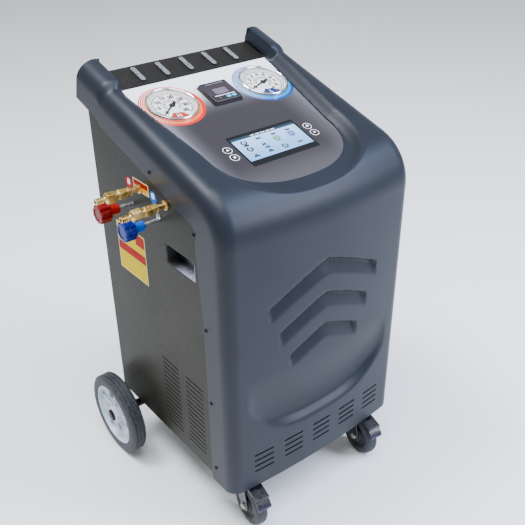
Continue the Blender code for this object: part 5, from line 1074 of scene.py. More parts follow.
SLOT_COLUMNS, SLOT_ROWS, SLOT_TOP, SLOT_PITCH = (-0.027, 0.060), 15, 0.3425, 0.0123
SLOT_LONG, SLOT_TALL = 0.062, 0.0030
# Powder coat: olive grey, with an orange peel of 1 mm that is drawn at 3 mm so that it shows, and
# a little cloudy over 140 mm where hands and dust have dulled it.
coat, tree, shader, where = finish("olive_grey_powder_coat", "#1E1D19", 0.4, Specular_IOR_Level=0.15)
peel = node(tree, "TexNoise", Vector=where, Scale=330.0, Detail=2.0)
cloud = node(tree, "TexNoise", Vector=where, Scale=7.0, Detail=2.0)
sway(tree, shader, cloud, tones=("#191810", "#222117"))
sway(tree, shader, peel, gloss=(0.34, 0.5), relief=(0.18, 0.0004))
# Moulded polypropylene: painted shade darkens the pocket towards its rear and top, and painted
# light turns its lower front pale, broken into spots of 3 mm.
pocket_painted_light, tree, shader, where = finish("polypropylene_painted_light", "#3A3A3E", 0.5)
along = measured(tree, where, (0, 1, 0), MIDDLE + Vector((0, POCKET_Y, POCKET_Z)))
up = measured(tree, where, (0, 0, 1), MIDDLE + Vector((0, POCKET_Y, POCKET_Z)))
pocket_speckle = node(tree, "TexNoise", Vector=where, Scale=320.0, Detail=5.0)
# Painted light and shade: pale towards the pocket's lower front, dark towards its rear and top.
pale = crossing(tree, along, 0.030, -0.010)
pale = crossing(tree, up, 0.020, 0.004, times=pale)
pale = crossing(tree, pocket_speckle, 0.30, 0.62, 0.45, 1.0, pale)
sway(tree, shader, pale, tones=("#232325", "#A9A9BA"), edges=None)
sway(tree, shader, pocket_speckle, gloss=(0.4, 0.6))
for side, sign in (("left", -1), ("right", 1)):
    shoulder = side_top(-SIDE_CHAMFER)
    outline = [(SIDE_FRONT, SIDE_LOW), (BODY_BACK, SIDE_LOW), (BODY_BACK, side_top(BODY_BACK)),
               (-SIDE_CHAMFER, shoulder), (SIDE_FRONT, shoulder - SIDE_CHAMFER)]
    low, high = sorted((sign * HALF_BODY, sign * (HALF_BODY - SHEET)))
    sheet = slab(f"{side}_louvred_side", outline, low, high, at(0, 0, 0) @ SIDEWAYS, 0.0004, 1)
    lip = bmesh.new()
    near, far = sorted((sign * (HALF_BODY - SHEET / 2), sign * (HALF_BODY - 0.014)))
    inside, outside = BODY_BACK - SHEET, BODY_BACK - 0.0001
    fold = [(near, inside), (far, inside), (far, outside), (near, outside)]
    cutting_block(lip, fold, upright, 0.163, side_top(BODY_BACK) - 0.004)
    cut_with(sheet, lip, "UNION")
    slots = bmesh.new()
    start, end = low - 0.01, high + 0.01
    for y in SLOT_COLUMNS:
        for row in range(SLOT_ROWS):
            slot = [(y + a, SLOT_TOP - row * SLOT_PITCH + b) for a, b in capsule(SLOT_LONG, SLOT_TALL, 4)]
            cutting_block(slots, slot, through_side, start, end)
    cutting_block(slots, oblong(0.0478, 0.0223, 0.0030, (POCKET_Y, POCKET_Z)), through_side, start, end)
    if side == "left":
        for name, y in PORTS:
            cutting_block(slots, circle(0.0063, 28, (y, PORT_Z)), through_side, start, end)
            cutting_block(slots, circle(0.0053, 24, (y + KNOB_BEHIND, KNOB_Z)), through_side, start, end)
    cut_with(sheet, slots)
    give(sheet, coat, "cabinet", "cabinet_paint", f"{side}_side_panel")

    # Grip pocket: one thin moulding bonded behind the sheet by its rim, open towards the hand.
    low, high = sorted((sign * (HALF_BODY - SHEET / 2), sign * 0.2000))
    pocket = slab(f"{side}_pocket", oblong(0.0475, 0.0220, 0.0040, (POCKET_Y, POCKET_Z)), low, high,
                  at(0, 0, 0) @ SIDEWAYS, 0.0004, 2)
    rim = bmesh.new()
    low, high = sorted((sign * 0.2282, sign * 0.2262))
    cutting_block(rim, oblong(0.0535, 0.0280, 0.0060, (POCKET_Y, POCKET_Z)), through_side, low, high)
    cut_with(pocket, rim, "UNION")
    hollow = bmesh.new()
    low, high = sorted((sign * 0.2400, sign * 0.2020))
    cutting_block(hollow, oblong(0.0455, 0.0200, 0.0034, (POCKET_Y, POCKET_Z)), through_side, low, high)
    cut_with(pocket, hollow)
    settle(pocket, Matrix(), 32)
    give(pocket, pocket_painted_light, "cabinet", "black_plastic", f"{side}_grip_pocket")

# Marker films on the left side: a coloured disc over each union and two bare two-tone films, all
# die-cut vinyl stuck on the paint, and one bright blind rivet beside the knobs.
def vinyl(name, colour, second=None, low=0.0, high=0.0):
    """Satin vinyl in one or two colours, the second between two heights, its gloss wavy at 11 mm."""
    made, tree, shader, where = finish(name, colour, 0.4, Specular_IOR_Level=0.05)
    sheen = node(tree, "TexNoise", Vector=where, Scale=90.0, Detail=2.0)
    sway(tree, shader, sheen, gloss=(0.32, 0.5))
    if second:
        up = measured(tree, where, (0, 0, 1), MIDDLE)
        sway(tree, shader, band(tree, up, low, high), tones=(colour, second), edges=None)
    return made


left_face = at(-HALF_BODY, 0, 0) @ Matrix(((0, 0, -1, 0), (1, 0, 0, 0), (0, 1, 0, 0), (0, 0, 0, 1)))
border = vinyl("pale_yellow_vinyl", "#DCD08C")
amber_red = vinyl("amber_red_vinyl", "#D29400", "#900400", 0.7325, 0.745)
yellow_red = vinyl("yellow_red_vinyl", "#CCB000", "#980400", 0.553, 0.573)
for name, a, b, half_a, half_b, film in (
        ("upper_film", 0.112, 0.733, 0.028, 0.012, amber_red),
        ("lower_film", 0.1755, 0.562, 0.0555, 0.056, yellow_red)):
    rim = slab(f"{name}_border", oblong(half_a, half_b, 0.001, (a, b), 2), 0.0, 0.00012, left_face)
    give(rim, border, "cabinet", "cabinet_paint")
    face = slab(name, oblong(half_a - 0.002, half_b - 0.002, 0.0006, (a, b), 2), 0.00005, 0.00022, left_face)
    give(face, film, "cabinet", "cabinet_paint")
patch = slab("film_patch", oblong(0.017, 0.0125, 0.0006, (0.1390, 0.6025), 2), 0.0001, 0.0003, left_face)
give(patch, vinyl("brick_vinyl", "#9C1400"), "cabinet", "cabinet_paint")
pale = vinyl("white_vinyl", "#E9E6E2")
for name, a, film in (
        ("red", 0.157, vinyl("signal_red_vinyl", "#A80E14")),
        ("blue", 0.069, vinyl("sky_blue_vinyl", "#0A62B8"))):
    marker = slab(f"{name}_marker", circle(0.0122, 40, (a, 0.727)), 0.0, 0.0002, left_face)
    give(marker, film, "cabinet", "cabinet_paint")
    spot = slab(f"{name}_marker_spot", oblong(0.0052, 0.0062, 0.0035, (a, 0.7295)), 0.0001, 0.0003, left_face)
    give(spot, pale, "cabinet", "cabinet_paint")
RIVET = [(0, -0.0005), (0.0062, -0.0005), (0.0062, 0.0005), (0.0050, 0.0017), (0.0026, 0.0023),
         (0.0022, 0.0012), (0, 0.0012)]
rivet = lathe("blind_rivet", RIVET, at(-HALF_BODY, 0.055, 0.693) @ TO_LEFT, 28)
give(rivet, steel, "cabinet", "alloy")

# Service unions: turned from brass bar, each with a washer against the side, a hexagon for the
# spanner, a larger union nut and a barbed tail for its hose.
barbs = []
for i in range(4):
    barbs += [(0.0054, 0.0765 + 0.0042 * i), (0.0063, 0.0800 + 0.0042 * i)]
PORT = [(0, -0.0015), (0.0060, -0.0015), (0.0060, 0.0003), (0.0098, 0.0003), (0.0098, 0.0030),
        (0.0090, 0.0036), (0.0062, 0.0040), (0.0060, 0.0175), (0.0066, 0.0180), (0.0088, 0.0200),
        (0.0088, 0.0215), (0.0080, 0.0222), (0.0080, 0.0480), (0.0088, 0.0488), (0.0088, 0.0505),
        (0.0072, 0.0515), (0.0072, 0.0530), (0.0100, 0.0535), (0.0100, 0.0715), (0.0074, 0.0735),
        (0.0060, 0.0745)]
PORT += barbs + [(0.0052, 0.0940), (0.0034, 0.0940), (0.0034, 0.0780), (0, 0.0780)]
union = lathe("service_union", PORT, Matrix(), 48, 30)
flats = slab("union_flats", circle(0.0108, 6), 0.0235, 0.0465, Matrix(), 0.0006, 2)
nut = slab("union_nut", circle(0.0120, 6, turn=0.3), 0.0537, 0.0712, Matrix(), 0.0009, 3)
union = joined("service_union", [union, flats, nut])
# Brass: pale turned metal, dulled in patches of 15 mm by handling. Its tool lines are under 0.1 mm
# and are drawn coarser, so that they show.
brass, tree, shader, where = finish("turned_brass", "#C9AE76", 0.3, 1.0)
lines = node(tree, "TexWave", "Fac", bands_direction="X", Vector=where, Scale=900.0, Distortion=1.0)
dull = node(tree, "TexNoise", Vector=where, Scale=70.0, Detail=3.0)
sway(tree, shader, dull, gloss=(0.24, 0.42), tones=("#BC9648", "#DCC080"))
sway(tree, shader, lines, relief=(0.08, 0.0002))
for name, y in PORTS:
    made = copies(union, [at(-HALF_BODY, y, PORT_Z) @ TO_LEFT])[0]
    made.name = f"{name}_union"
    give(made, brass, "cabinet", "brass", f"{name}_service_port")
bpy.data.objects.remove(union, do_unlink=True)

# Shut-off knobs: nylon, moulded round a socket for the valve stem, with ten soft ribs and a dished
# end. Red is for the high side and blue for the low side.
GRIP_RADIUS, RIB_HEIGHT, RIBS, GRIP_POINTS = 0.0184, 0.0011, 10, 120
grip = []
for i in range(GRIP_POINTS):
    angle = 2 * math.pi * i / GRIP_POINTS
    radius = GRIP_RADIUS + RIB_HEIGHT * math.cos(RIBS * angle)
    grip.append((radius * math.cos(angle), radius * math.sin(angle)))
wheel = slab("knob_grip", grip, 0.0540, 0.0780, Matrix(), 0.0018, 3, 50)
dish = bmesh.new()
cutting_block(dish, circle(0.0125, 48), flat_place, 0.0768, 0.09)
cut_with(wheel, dish)
stem_seat = bmesh.new()
cutting_block(stem_seat, circle(0.0054, 24), flat_place, 0.05, 0.0662)
cut_with(wheel, stem_seat)
settle(wheel, Matrix(), 50)
NECK = [(0.0054, 0.0320), (0.0085, 0.0320), (0.0100, 0.0332), (0.0105, 0.0360), (0.0105, 0.0498),
        (0.0116, 0.0515), (0.0140, 0.0540), (0.0140, 0.0546), (0.0054, 0.0546)]
collar = lathe("knob_neck", NECK, Matrix(), 40)
wheel = joined("knob_grip", [wheel, collar])


def nylon_knob(name, colour, light):
    """Moulded nylon: deep and glossy, lighter on the neck than on the ribbed grip, a little hazy."""
    made, tree, shader, where = finish(name, colour, 0.26, Specular_IOR_Level=0.25, Coat_Weight=0.03)
    blotches = node(tree, "TexNoise", Vector=where, Scale=120.0, Detail=3.0)
    out = measured(tree, where, (-1, 0, 0), MIDDLE + Vector((-HALF_BODY, 0, 0)))
    haze = crossing(tree, blotches, 0.35, 0.75, 0.0, 0.25)
    body = node(tree, "Mix", 2, data_type="RGBA", _0=haze, _6=colour, _7=light)
    sway(tree, shader, out, tones=(light, body), edges=(0.050, 0.056))
    sway(tree, shader, blotches, gloss=(0.18, 0.36))
    return made


blue_nylon = nylon_knob("blue_nylon", "#020A60", "#0450B4")
red_nylon = nylon_knob("red_nylon", "#6C0204", "#900C08")
for (name, y), made in zip(PORTS, (blue_nylon, red_nylon)):
    knob = copies(wheel, [at(-HALF_BODY, y + KNOB_BEHIND, KNOB_Z) @ TO_LEFT])[0]
    knob.name = f"{name}_knob"
    slot = "blue_plastic" if name == "low" else "red_plastic"
    give(knob, made, f"{name}_knob", slot, f"{name}_shutoff_knob")
bpy.data.objects.remove(wheel, do_unlink=True)

# Rear wheels: black rubber tyres with moulded grooves on a pale blue grey polypropylene hub, each
# hub with a web, five round holes and a long boss that runs on the fixed axle.
AXLE_Y, WHEEL_RADIUS, WHEEL_INNER = 0.2500, 0.1000, 0.2560
GROOVE_PITCH, GROOVE_DEPTH = 0.0085, 0.0018


def mirrored(half):
    """The other half of a profile that is alike on both sides."""
    return [(radius, -level) for radius, level in reversed(half)]


shoulder = [(0.0763, -0.0188), (0.0880, -0.0190), (0.0918, -0.0183), (0.0955, -0.0165), (0.0985, -0.0142),
            (WHEEL_RADIUS, -0.0125)]
TREAD = list(shoulder)
for groove in (-GROOVE_PITCH, 0.0, GROOVE_PITCH):
    TREAD += [(WHEEL_RADIUS, groove - 0.0017), (WHEEL_RADIUS - GROOVE_DEPTH, groove - 0.0010),
              (WHEEL_RADIUS - GROOVE_DEPTH, groove + 0.0010), (WHEEL_RADIUS, groove + 0.0017)]
TREAD += mirrored(shoulder)
tyre = lathe("wheel_tyre", TREAD, Matrix(), 96, 28)
half_hub = [(0.0104, -0.0190), (0.0195, -0.0190), (0.0210, -0.0178), (0.0218, -0.0050), (0.0240, -0.0032),
            (0.0660, -0.0030), (0.0690, -0.0045), (0.0715, -0.0150), (0.0722, -0.0172), (0.0755, -0.0172),
            (0.0760, -0.0160)]
hub = lathe("wheel_hub", half_hub + mirrored(half_hub), Matrix(), 96, 30)
holes = bmesh.new()
for i in range(5):
    turn = 2 * math.pi * i / 5
    hole = circle(0.0110, 36, (0.046 * math.cos(turn), 0.046 * math.sin(turn)))
    cutting_block(holes, hole, flat_place, -0.02, 0.02)
cut_with(hub, holes)
settle(hub, Matrix(), 30)
web = slab("hub_rib", oblong(0.0225, 0.0011, 0.0008, (0.0460, 0), 2), -0.0100, 0.0100, Matrix(), 0.0006, 2)
ribs = copies(web, [Matrix.Rotation(2 * math.pi * (i + 0.5) / 5, 4, "Z") for i in range(5)])
hub = joined("wheel_hub", [hub] + ribs)
bpy.data.objects.remove(web, do_unlink=True)
# Tyre rubber: black, greyed by dust in patches of 4.5 mm.
rubber, tree, shader, where = finish("dusty_tyre_rubber", "#17181A", 0.62)
grain = node(tree, "TexNoise", Vector=where, Scale=220.0, Detail=4.0)
sway(tree, shader, grain, tones=("#1C1F22", "#40464C"), relief=(0.25, 0.0005), edges=(0.4, 0.8))
sway(tree, shader, grain, gloss=(0.48, 0.75))
# Hub: pale blue grey polypropylene, slightly waxy, with flow marks of 40 mm from the mould.
hub_plastic, tree, shader, where = finish("blue_grey_polypropylene", "#BCC9D2", 0.34)
flow = node(tree, "TexNoise", Vector=where, Scale=26.0, Detail=3.0, Distortion=1.2)
sway(tree, shader, flow, gloss=(0.26, 0.44), tones=("#AFBEC9", "#CBD6DC"))
for side, sign in (("left", -1), ("right", 1)):
    seat = at(sign * (WHEEL_INNER + 0.0190), AXLE_Y, WHEEL_RADIUS) @ TO_RIGHT
    made = copies(tyre, [seat])[0]
    made.name = f"{side}_tyre"
    give(made, rubber, f"rear_wheel_{side}", "tyre_rubber", f"rear_tyre_{side}")
    made = copies(hub, [seat])[0]
    made.name = f"{side}_hub"
    give(made, hub_plastic, f"rear_wheel_{side}", "hub_plastic", f"rear_hub_{side}")
bpy.data.objects.remove(tyre, do_unlink=True)
bpy.data.objects.remove(hub, do_unlink=True)

# Axle: a drawn steel bar through the base's saddles, with a collar inside each wheel and a pressed
# cap outside it.
half_axle = [(0, -0.2994), (0.0085, -0.2994), (0.0120, -0.2985), (0.0142, -0.2966), (0.0150, -0.2944),
             (0.0100, -0.2944), (0.0100, -0.2556), (0.0134, -0.2556), (0.0140, -0.2550), (0.0140, -0.2502),
             (0.0134, -0.2496), (0.0100, -0.2496)]
axle_place = at(0, AXLE_Y, WHEEL_RADIUS) @ TO_RIGHT
axle = lathe("wheel_axle", half_axle + mirrored(half_axle), axle_place, 48, 30)
give(axle, black_zinc, "cabinet", "steel_axle", "rear_axle")

# Front castors: a bolted plate with a ball race, a pressed fork that swivels, a nylon wheel with a
# rubber tread, and a brake pedal hung between the fork's legs.
CROWN_TOP, CROWN_LOW, FORK_INNER, FORK_OUTER = 0.1183, 0.1153, 0.0165, 0.0195
plate = slab("castor_plate", oblong(0.0450, 0.0380, 0.0060), 0.1287, 0.1327, Matrix(), 0.0006, 2)
RACE = [(0.0084, 0.1187), (0.0235, 0.1187), (0.0262, 0.1200), (0.0270, 0.1222), (0.0262, 0.1243),
        (0.0250, 0.1252), (0.0262, 0.1262), (0.0268, 0.1288), (0.0084, 0.1288)]
race = lathe("castor_race", RACE, Matrix(), 56, 25)
bolt = slab("plate_bolt", circle(0.0062, 6), 0.1247, 0.1288, Matrix(), 0.0006, 2)
bolts = copies(bolt, [Matrix.Translation((a, b, 0)) for a in (-0.036, 0.036) for b in (-0.029, 0.029)])
plate = joined("castor_plate", [plate, race] + bolts)
bpy.data.objects.remove(bolt, do_unlink=True)
TRAIL, BOLT_Z = 0.036, 0.050
CASTOR_X, CASTOR_Y, CASTOR_TURN = 0.168, -0.098, math.radians(-6)
leg = arc(0.014, 180, 360, 16, (-TRAIL, BOLT_Z))
leg += [(-0.0165, 0.0600), (-0.0060, 0.0720), (0.0120, 0.0880), (0.0245, 0.0985), (0.0270, 0.1033),
        (0.0270, 0.1160), (0.0250, CROWN_TOP), (-0.0330, CROWN_TOP), (-0.0365, 0.1150), (-0.0375, 0.1038)]
fork = slab("castor_fork", leg, -FORK_OUTER, FORK_OUTER, SIDEWAYS, 0.0018, 4)


def along_castor(a, b, level):
    """Place (x, z) in a castor's own frame, at a distance along it."""
    return Vector((a, level, b))


space = bmesh.new()
cutting_block(space, oblong(FORK_INNER, 0.08, 0.0040, (0.0, CROWN_LOW - 0.08)), along_castor, -0.2, 0.2)
cut_with(fork, space)
settle(fork, Matrix(), 30)
pin = lathe("fork_pin", [(0, 0.1160), (0.0080, 0.1160), (0.0080, 0.1283), (0, 0.1283)], Matrix(), 32)
fork = joined("castor_fork", [fork, pin])
bolt_place = Matrix.Translation((0, -TRAIL, BOLT_Z)) @ TO_RIGHT
washer = [(0, -0.0245), (0.0040, -0.0245), (0.0048, -0.0238), (0.0050, -0.0210), (0.0082, -0.0208),
          (0.0082, -0.0194), (0.0050, -0.0194)]
wheel_bolt = lathe("wheel_bolt", washer + mirrored(washer), bolt_place, 32)
nuts = [slab("nut", circle(0.0073, 6), level, level + 0.0033, bolt_place, 0.0005, 2)
        for level in (-0.0240, 0.0207)]
wheel_bolt = joined("wheel_bolt", [wheel_bolt] + nuts)
half_core = [(0.0054, -0.0149), (0.0140, -0.0149), (0.0155, -0.0138), (0.0170, -0.0100), (0.0280, -0.0088),
             (0.0315, -0.0118), (0.0335, -0.0136), (0.0350, -0.0136)]
core = lathe("castor_core", half_core + mirrored(half_core), bolt_place, 64, 30)
half_tread = [(0.0350, -0.0138), (0.0425, -0.0140), (0.0462, -0.0126), (0.0487, -0.0096), (0.0498, -0.0060),
              (0.0500, -0.0020), (0.0492, -0.0012)]
tread = lathe("castor_tread", half_tread + mirrored(half_tread), bolt_place, 72, 30)
PEDAL_AHEAD, PEDAL_Z = 0.024, 0.1098
wheel_y, wheel_z = PEDAL_AHEAD - TRAIL, BOLT_Z - PEDAL_Z
lobe = [(0.059, 0.95), (0.059, 0.84), (0.059, 0.73), (0.059, 0.62), (0.059, 0.50), (0.0612, 0.455),
        (0.0636, 0.465), (0.0659, 0.505), (0.0664, 0.54), (0.0664, 0.63), (0.0664, 0.73), (0.0659, 0.84),
        (0.0634, 0.95)]
lobe = [(wheel_y - r * math.cos(a), wheel_z + r * math.sin(a)) for r, a in lobe]
boss = arc(0.005, -90, 90, 12)
pad = [(-0.036, 0.0010), (-0.0500, -0.0032), (-0.0605, -0.0058), (-0.0618, -0.0072), (-0.0600, -0.0090)]
blade = boss + pad + lobe[::-1] + [(-0.018, -0.006)]
pedal = slab("brake_pedal", blade, -0.0159, 0.0159, SIDEWAYS, 0.0011, 3)
tread_rib = slab("pedal_rib", oblong(0.0120, 0.0007, 0.0005), -0.0004, 0.0007, Matrix(), 0.0003, 2)
places = [Matrix.Translation((0, -0.0400 - 0.0042 * i, -0.0001 - 0.00125 * i)) @ Matrix.Rotation(0.29, 4, "X")
          for i in range(5)]
grips = copies(tread_rib, places)
bpy.data.objects.remove(tread_rib, do_unlink=True)
pedal = joined("brake_pedal", [pedal] + grips)
# Zinc plate on the castors' wheel bolts: grey steel with a faint yellow bloom over 15 mm.
zinc, tree, shader, where = finish("zinc_plated_steel", "#A7A8A2", 0.32, 0.9)
bloom = node(tree, "TexNoise", Vector=where, Scale=60.0, Detail=3.0)
sway(tree, shader, bloom, tones=("#8E908E", "#C0BFB4"), edges=None)
sway(tree, shader, bloom, gloss=(0.24, 0.42))
# Fork enamel: thick gloss black over pressed steel, with soft ripples of 15 mm.
fork_enamel, tree, shader, where = finish("gloss_black_enamel", "#0E0F11", 0.22, Coat_Weight=0.3)
ripple = node(tree, "TexNoise", Vector=where, Scale=70.0, Detail=2.0)
sway(tree, shader, ripple, gloss=(0.16, 0.32), relief=(0.2, 0.0006))
# Castor core: black glass filled nylon, dry and slightly mottled at 4 mm.
nylon_core, tree, shader, where = finish("glass_filled_nylon", "#141517", 0.5)
mottle = node(tree, "TexNoise", Vector=where, Scale=260.0, Detail=3.0)
sway(tree, shader, mottle, tones=("#101113", "#222428"), edges=None)
# Pedal: nylon, navy on the hanging lobe and black above it, rubbed by shoes in patches of 7 mm.
navy_nylon, tree, shader, where = finish("navy_nylon", "#191B3A", 0.35)
shoe = node(tree, "TexNoise", Vector=where, Scale=150.0, Detail=3.0)
navy = node(tree, "Mix", 2, data_type="RGBA", _0=shoe, _6="#0B0C2A", _7="#1A1C48")
sway(tree, shader, measured(tree, where, (0, 0, 1), MIDDLE), tones=(navy, "#0C0D10"), edges=(0.084, 0.090))
sway(tree, shader, shoe, gloss=(0.24, 0.5))
for side, sign in (("left", -1), ("right", 1)):
    place = at(sign * CASTOR_X, CASTOR_Y, 0)
    swivel = place @ Matrix.Rotation(CASTOR_TURN, 4, "Z")
    hang = swivel @ Matrix.Translation((0, -PEDAL_AHEAD, PEDAL_Z))
    for piece, made, body, slot, nodes, seat in (
            (plate, black_zinc, "cabinet", "black_paint", [f"castor_plate_{side}"], place),
            (fork, fork_enamel, f"castor_swivel_{side}", "black_paint", [f"castor_fork_{side}"], swivel),
            (wheel_bolt, zinc, f"castor_swivel_{side}", "black_paint", [], swivel),
            (core, nylon_core, f"castor_roller_{side}", "castor_rubber", [f"castor_wheel_{side}"], swivel),
            (tread, rubber, f"castor_roller_{side}", "castor_rubber", [], swivel),
            (pedal, navy_nylon, f"castor_pedal_{side}", "pedal_plastic", [f"castor_brake_{side}"], hang)):
        other = copies(piece, [seat])[0]
        other.name = f"{side}_{piece.name}"
        give(other, made, body, slot, *nodes)
for piece in (plate, fork, wheel_bolt, core, tread, pedal):
    bpy.data.objects.remove(piece, do_unlink=True)

# Push handle: a bent steel tube with a plastic coating, welded to two flanges that are screwed
# through the back panel.
HANDLE_Z, HANDLE_HALF, HANDLE_FOOT = 0.7720, 0.1650, BODY_BACK + GAP
HANDLE_BEND, HANDLE_REACH = 0.0231, 0.0420
bpy.ops.object.select_all(action="DESELECT")
bpy.ops.mesh.primitive_circle_add(vertices=32, radius=0.0110, fill_type="NGON")
tube = fresh("push_handle_tube")
tube.data.transform(TO_REAR)
tube.data.transform(Matrix.Translation((-HANDLE_HALF, HANDLE_FOOT + 0.001, 0)))
bpy.ops.object.mode_set(mode="EDIT")
bpy.ops.mesh.select_all(action="SELECT")
reach = HANDLE_REACH - HANDLE_BEND - 0.001
bpy.ops.mesh.extrude_region_move(TRANSFORM_OT_translate={"value": (0, reach, 0)})
bend_x, bend_y = HANDLE_HALF - HANDLE_BEND, HANDLE_FOOT + HANDLE_REACH - HANDLE_BEND
bpy.ops.mesh.spin(steps=12, angle=math.pi / 2, center=(-bend_x, bend_y, 0), axis=(0, 0, 1))
bpy.ops.mesh.extrude_region_move(TRANSFORM_OT_translate={"value": (2 * bend_x, 0, 0)})
bpy.ops.mesh.spin(steps=12, angle=math.pi / 2, center=(bend_x, bend_y, 0), axis=(0, 0, 1))
bpy.ops.mesh.extrude_region_move(TRANSFORM_OT_translate={"value": (0, -reach, 0)})
bpy.ops.object.mode_set(mode="OBJECT")
settle(tube, at(0, 0, HANDLE_Z), 40)
FLANGE = [(0, 0), (0.0212, 0), (0.0220, 0.0008), (0.0220, 0.0030), (0.0210, 0.0040),
          (0.0130, 0.0042), (0.0112, 0.0060), (0, 0.0060)]
parts = [tube]
for sign in (-1, 1):
    foot = at(sign * HANDLE_HALF, HANDLE_FOOT, HANDLE_Z) @ TO_REAR
    parts.append(lathe("handle_flange", FLANGE, foot, 48, 30))
handle = joined("push_handle_tube", parts)
# Dip coating: matt black vinyl with dimples of 2.6 mm, so that light spreads softly over the tube.
dip, tree, shader, where = finish("matt_black_dip", "#151617", 0.6)
dimple = node(tree, "TexNoise", Vector=where, Scale=380.0, Detail=3.0)
sway(tree, shader, dimple, gloss=(0.5, 0.7), relief=(0.3, 0.0005))
give(handle, dip, "cabinet", "black_paint", "push_handle")

# Panel screws: black zinc pan heads with a slot. Three hold each flange of the handle and five run
# down each edge of the back panel.
FLANGE_SCREWS, EDGE_SCREWS_Z = 0.0168, (0.20, 0.36, 0.52, 0.68, 0.83)
PAN = [(0, -0.0003), (0.0038, -0.0003), (0.0038, 0.0006), (0.0030, 0.0016), (0, 0.0020)]
head = lathe("panel_screw", PAN, Matrix(), 20)
slit = bmesh.new()
cutting_block(slit, oblong(0.0020, 0.0004, 0.0001, (0, 0), 1), flat_place, 0.0009, 0.01)
cut_with(head, slit)
seats = []
for sign in (-1, 1):
    for i in range(3):
        turn = math.pi / 2 + 2 * math.pi * i / 3
        x, z = sign * HANDLE_HALF + FLANGE_SCREWS * math.cos(turn), HANDLE_Z + FLANGE_SCREWS * math.sin(turn)
        seats.append(at(x, HANDLE_FOOT + 0.0041, z) @ TO_REAR)
    seats += [at(sign * 0.208, BODY_BACK + 0.0001, z) @ TO_REAR for z in EDGE_SCREWS_Z]
screws = joined("back_screws", copies(head, seats))
give(screws, black_zinc, "cabinet", "black_paint")

# Mains inlet: a black thermoplastic module with a three pin socket below and a red rocker switch
# above, screwed over a cut-out in the back panel.
ROCKER_B, ROCKER_TILT = 0.0145, math.radians(-11)
INLET = at(0.150, HANDLE_FOOT, 0.215) @ Matrix(((-1, 0, 0, 0), (0, 0, 1, 0), (0, 1, 0, 0), (0, 0, 0, 1)))
flange = slab("inlet_module", oblong(0.0180, 0.0330, 0.0040), 0.0, 0.0030, Matrix(), 0.0007, 2)
box = bmesh.new()
cutting_block(box, oblong(0.0145, 0.0270, 0.0010), flat_place, -0.0300, 0.0015)
cut_with(flange, box, "UNION")
wells = bmesh.new()
socket_mouth = [(-0.0110, -0.0205), (0.0110, -0.0205), (0.0110, -0.0100), (0.0075, -0.0065),
                (-0.0075, -0.0065), (-0.0110, -0.0100)]
cutting_block(wells, socket_mouth, flat_place, -0.0130, 0.02)
cutting_block(wells, oblong(0.0104, 0.0073, 0.0008, (0, ROCKER_B)), flat_place, -0.0060, 0.02)
cut_with(flange, wells)
settle(flange, INLET, 30)
# Thermoplastic: black, with a fine matt grain that is drawn at 1.4 mm, so that it shows.
moulded, tree, shader, where = finish("matt_black_thermoplastic", "#141415", 0.48)
grain = node(tree, "TexNoise", Vector=where, Scale=700.0, Detail=2.0)
sway(tree, shader, grain, gloss=(0.4, 0.58))
give(flange, moulded, "cabinet", "black_plastic", "power_inlet")
pins = [slab("pin", oblong(0.0010, 0.0020, 0.0004, (x, -0.0135 + rise)), -0.0140, -0.0010, INLET, 0.0003, 2)
        for x, rise in ((-0.007, -0.002), (0.0, 0.002), (0.007, -0.002))]
give(joined("inlet_pins", pins), brass, "cabinet", "alloy")
seats = [INLET @ Matrix.Translation((0, b, 0.0030)) for b in (-0.0290, 0.0290)]
screws = joined("inlet_screws", copies(head, seats))
give(screws, black_zinc, "cabinet", "black_paint")
bpy.data.objects.remove(head, do_unlink=True)
side_view = [(-0.0060, -0.0048), (-0.0065, 0.0010), (-0.0056, 0.0017), (0.0, 0.0029), (0.0056, 0.0017),
             (0.0065, 0.0010), (0.0060, -0.0048)]
rocker = slab("rocker_key", [(b, a) for a, b in side_view], -0.0098, 0.0098, Matrix(), 0.0006, 2)
rocker.data.transform(Matrix(((0, 0, 1, 0), (0, 1, 0, 0), (1, 0, 0, 0), (0, 0, 0, 1))))
marks = [slab("mark", oblong(0.0004, 0.0020, 0.0003, (0, 0.0036)), 0.0018, 0.0025, Matrix()),
         stroke(arc(0.0014, 0, 350, 24, (0, -0.0036)), 0.0006, 0.0018, 0.0025)]
tilt = INLET @ Matrix.Translation((0, ROCKER_B, 0.0022)) @ Matrix.Rotation(ROCKER_TILT, 4, "X")
rocker.data.transform(tilt)
settle(rocker, Matrix(), 30)
# Rocker: red polycarbonate, clouded over 7 mm, with white moulded signs for on and off.
red_clear, tree, shader, where = finish("red_polycarbonate", "#8C1512", 0.16, Coat_Weight=0.3)
cloud = node(tree, "TexNoise", Vector=where, Scale=140.0, Detail=2.0)
sway(tree, shader, cloud, tones=("#7A0F0E", "#A81F1A"), edges=None)
give(rocker, red_clear, "rocker", "rocker_red", "power_rocker")
signs = joined("rocker_signs", marks)
signs.data.transform(tilt)
give(signs, white_ink, "rocker", "rocker_red")


# Cabinet steelwork and the circuit inside: these pieces keep the shapes of the CAD model, and each
# gets the finish of the real one. All but the back panel show only through the side slots, the
# vents and from below.
def dress(made, *names):
    """Give CAD pieces that stay as they are their finish."""
    for name in names:
        for holder in frame["nodes"][name].material_slots:
            holder.material = made


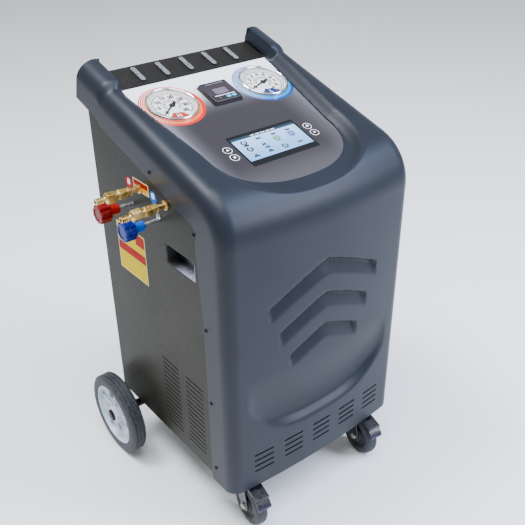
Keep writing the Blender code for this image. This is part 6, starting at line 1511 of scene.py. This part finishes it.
def mottled(name, first, second, rough, scale, metallic=0.0, relief=0.0):
    """A finish that wavers between two tones, with matching gloss and, if asked, a fine relief."""
    made, tree, shader, where = finish(name, first, rough, metallic)
    waver = node(tree, "TexNoise", Vector=where, Scale=scale, Detail=3.0)
    sway(tree, shader, waver, gloss=(rough - 0.07, rough + 0.1), tones=(first, second),
         relief=(0.3, relief) if relief else None)
    return made


dress(coat, "back_panel")
# Base paint: thick black, a little uneven, so the floor of the cabinet stays dark.
dress(mottled("black_chassis_paint", "#17181A", "#222325", 0.45, 90.0, relief=0.0004), "base_frame")
dress(moulded, "display_module")
# Circuit board: green solder mask, shiny, with cloudy patches where the copper lies under it.
dress(mottled("green_solder_mask", "#0E4A2A", "#1C6A3C", 0.25, 300.0), "control_board")
# Valve block: sawn aluminium, anodised dull and slightly blotched.
dress(mottled("anodised_aluminium", "#A2A5A8", "#B9BBBD", 0.35, 120.0, 1.0), "service_manifold")
# Tank paint: pale blue, dulled by hands.
dress(mottled("pale_blue_tank_paint", "#5E8CB0", "#7AA3C2", 0.4, 30.0), "refrigerant_tank")
# Scale platform: brushed stainless steel, its sheen softly clouded.
dress(mottled("brushed_stainless", "#9A9B9C", "#B4B5B6", 0.3, 160.0, 1.0), "tank_scale")
# Compressor shell: black enamel over a deep drawn can, glossy and rippled.
dress(fork_enamel, "compressor")
# Pump casing: blue hammer paint, with the dimples that hide rough castings.
dress(mottled("blue_hammer_paint", "#1E3C5E", "#335A82", 0.35, 180.0, 0.2, 0.0008), "vacuum_pump")
# Condenser: thin aluminium fins, greyed by road dust.
dress(mottled("dusty_aluminium_fins", "#6E7072", "#909294", 0.45, 60.0, 0.8), "condenser")
# Fan: black nylon with a dull sheen.
dress(nylon_core, "fan_rotor")
# Drier: lacquered steel can with a faint gold tone.
dress(mottled("lacquered_steel", "#6F6C62", "#8B877A", 0.3, 80.0, 0.8), "filter_drier")
# Oil bottle: milky polyethylene with the amber of the oil showing through.
dress(mottled("milky_polyethylene", "#C9B98A", "#DCD2AE", 0.4, 40.0), "oil_bottle")
# Power supply: bright galvanised sheet, its spangle broken into patches.
dress(mottled("galvanised_sheet", "#8F9496", "#B3B8BA", 0.32, 70.0, 0.9), "power_supply")

low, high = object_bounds()
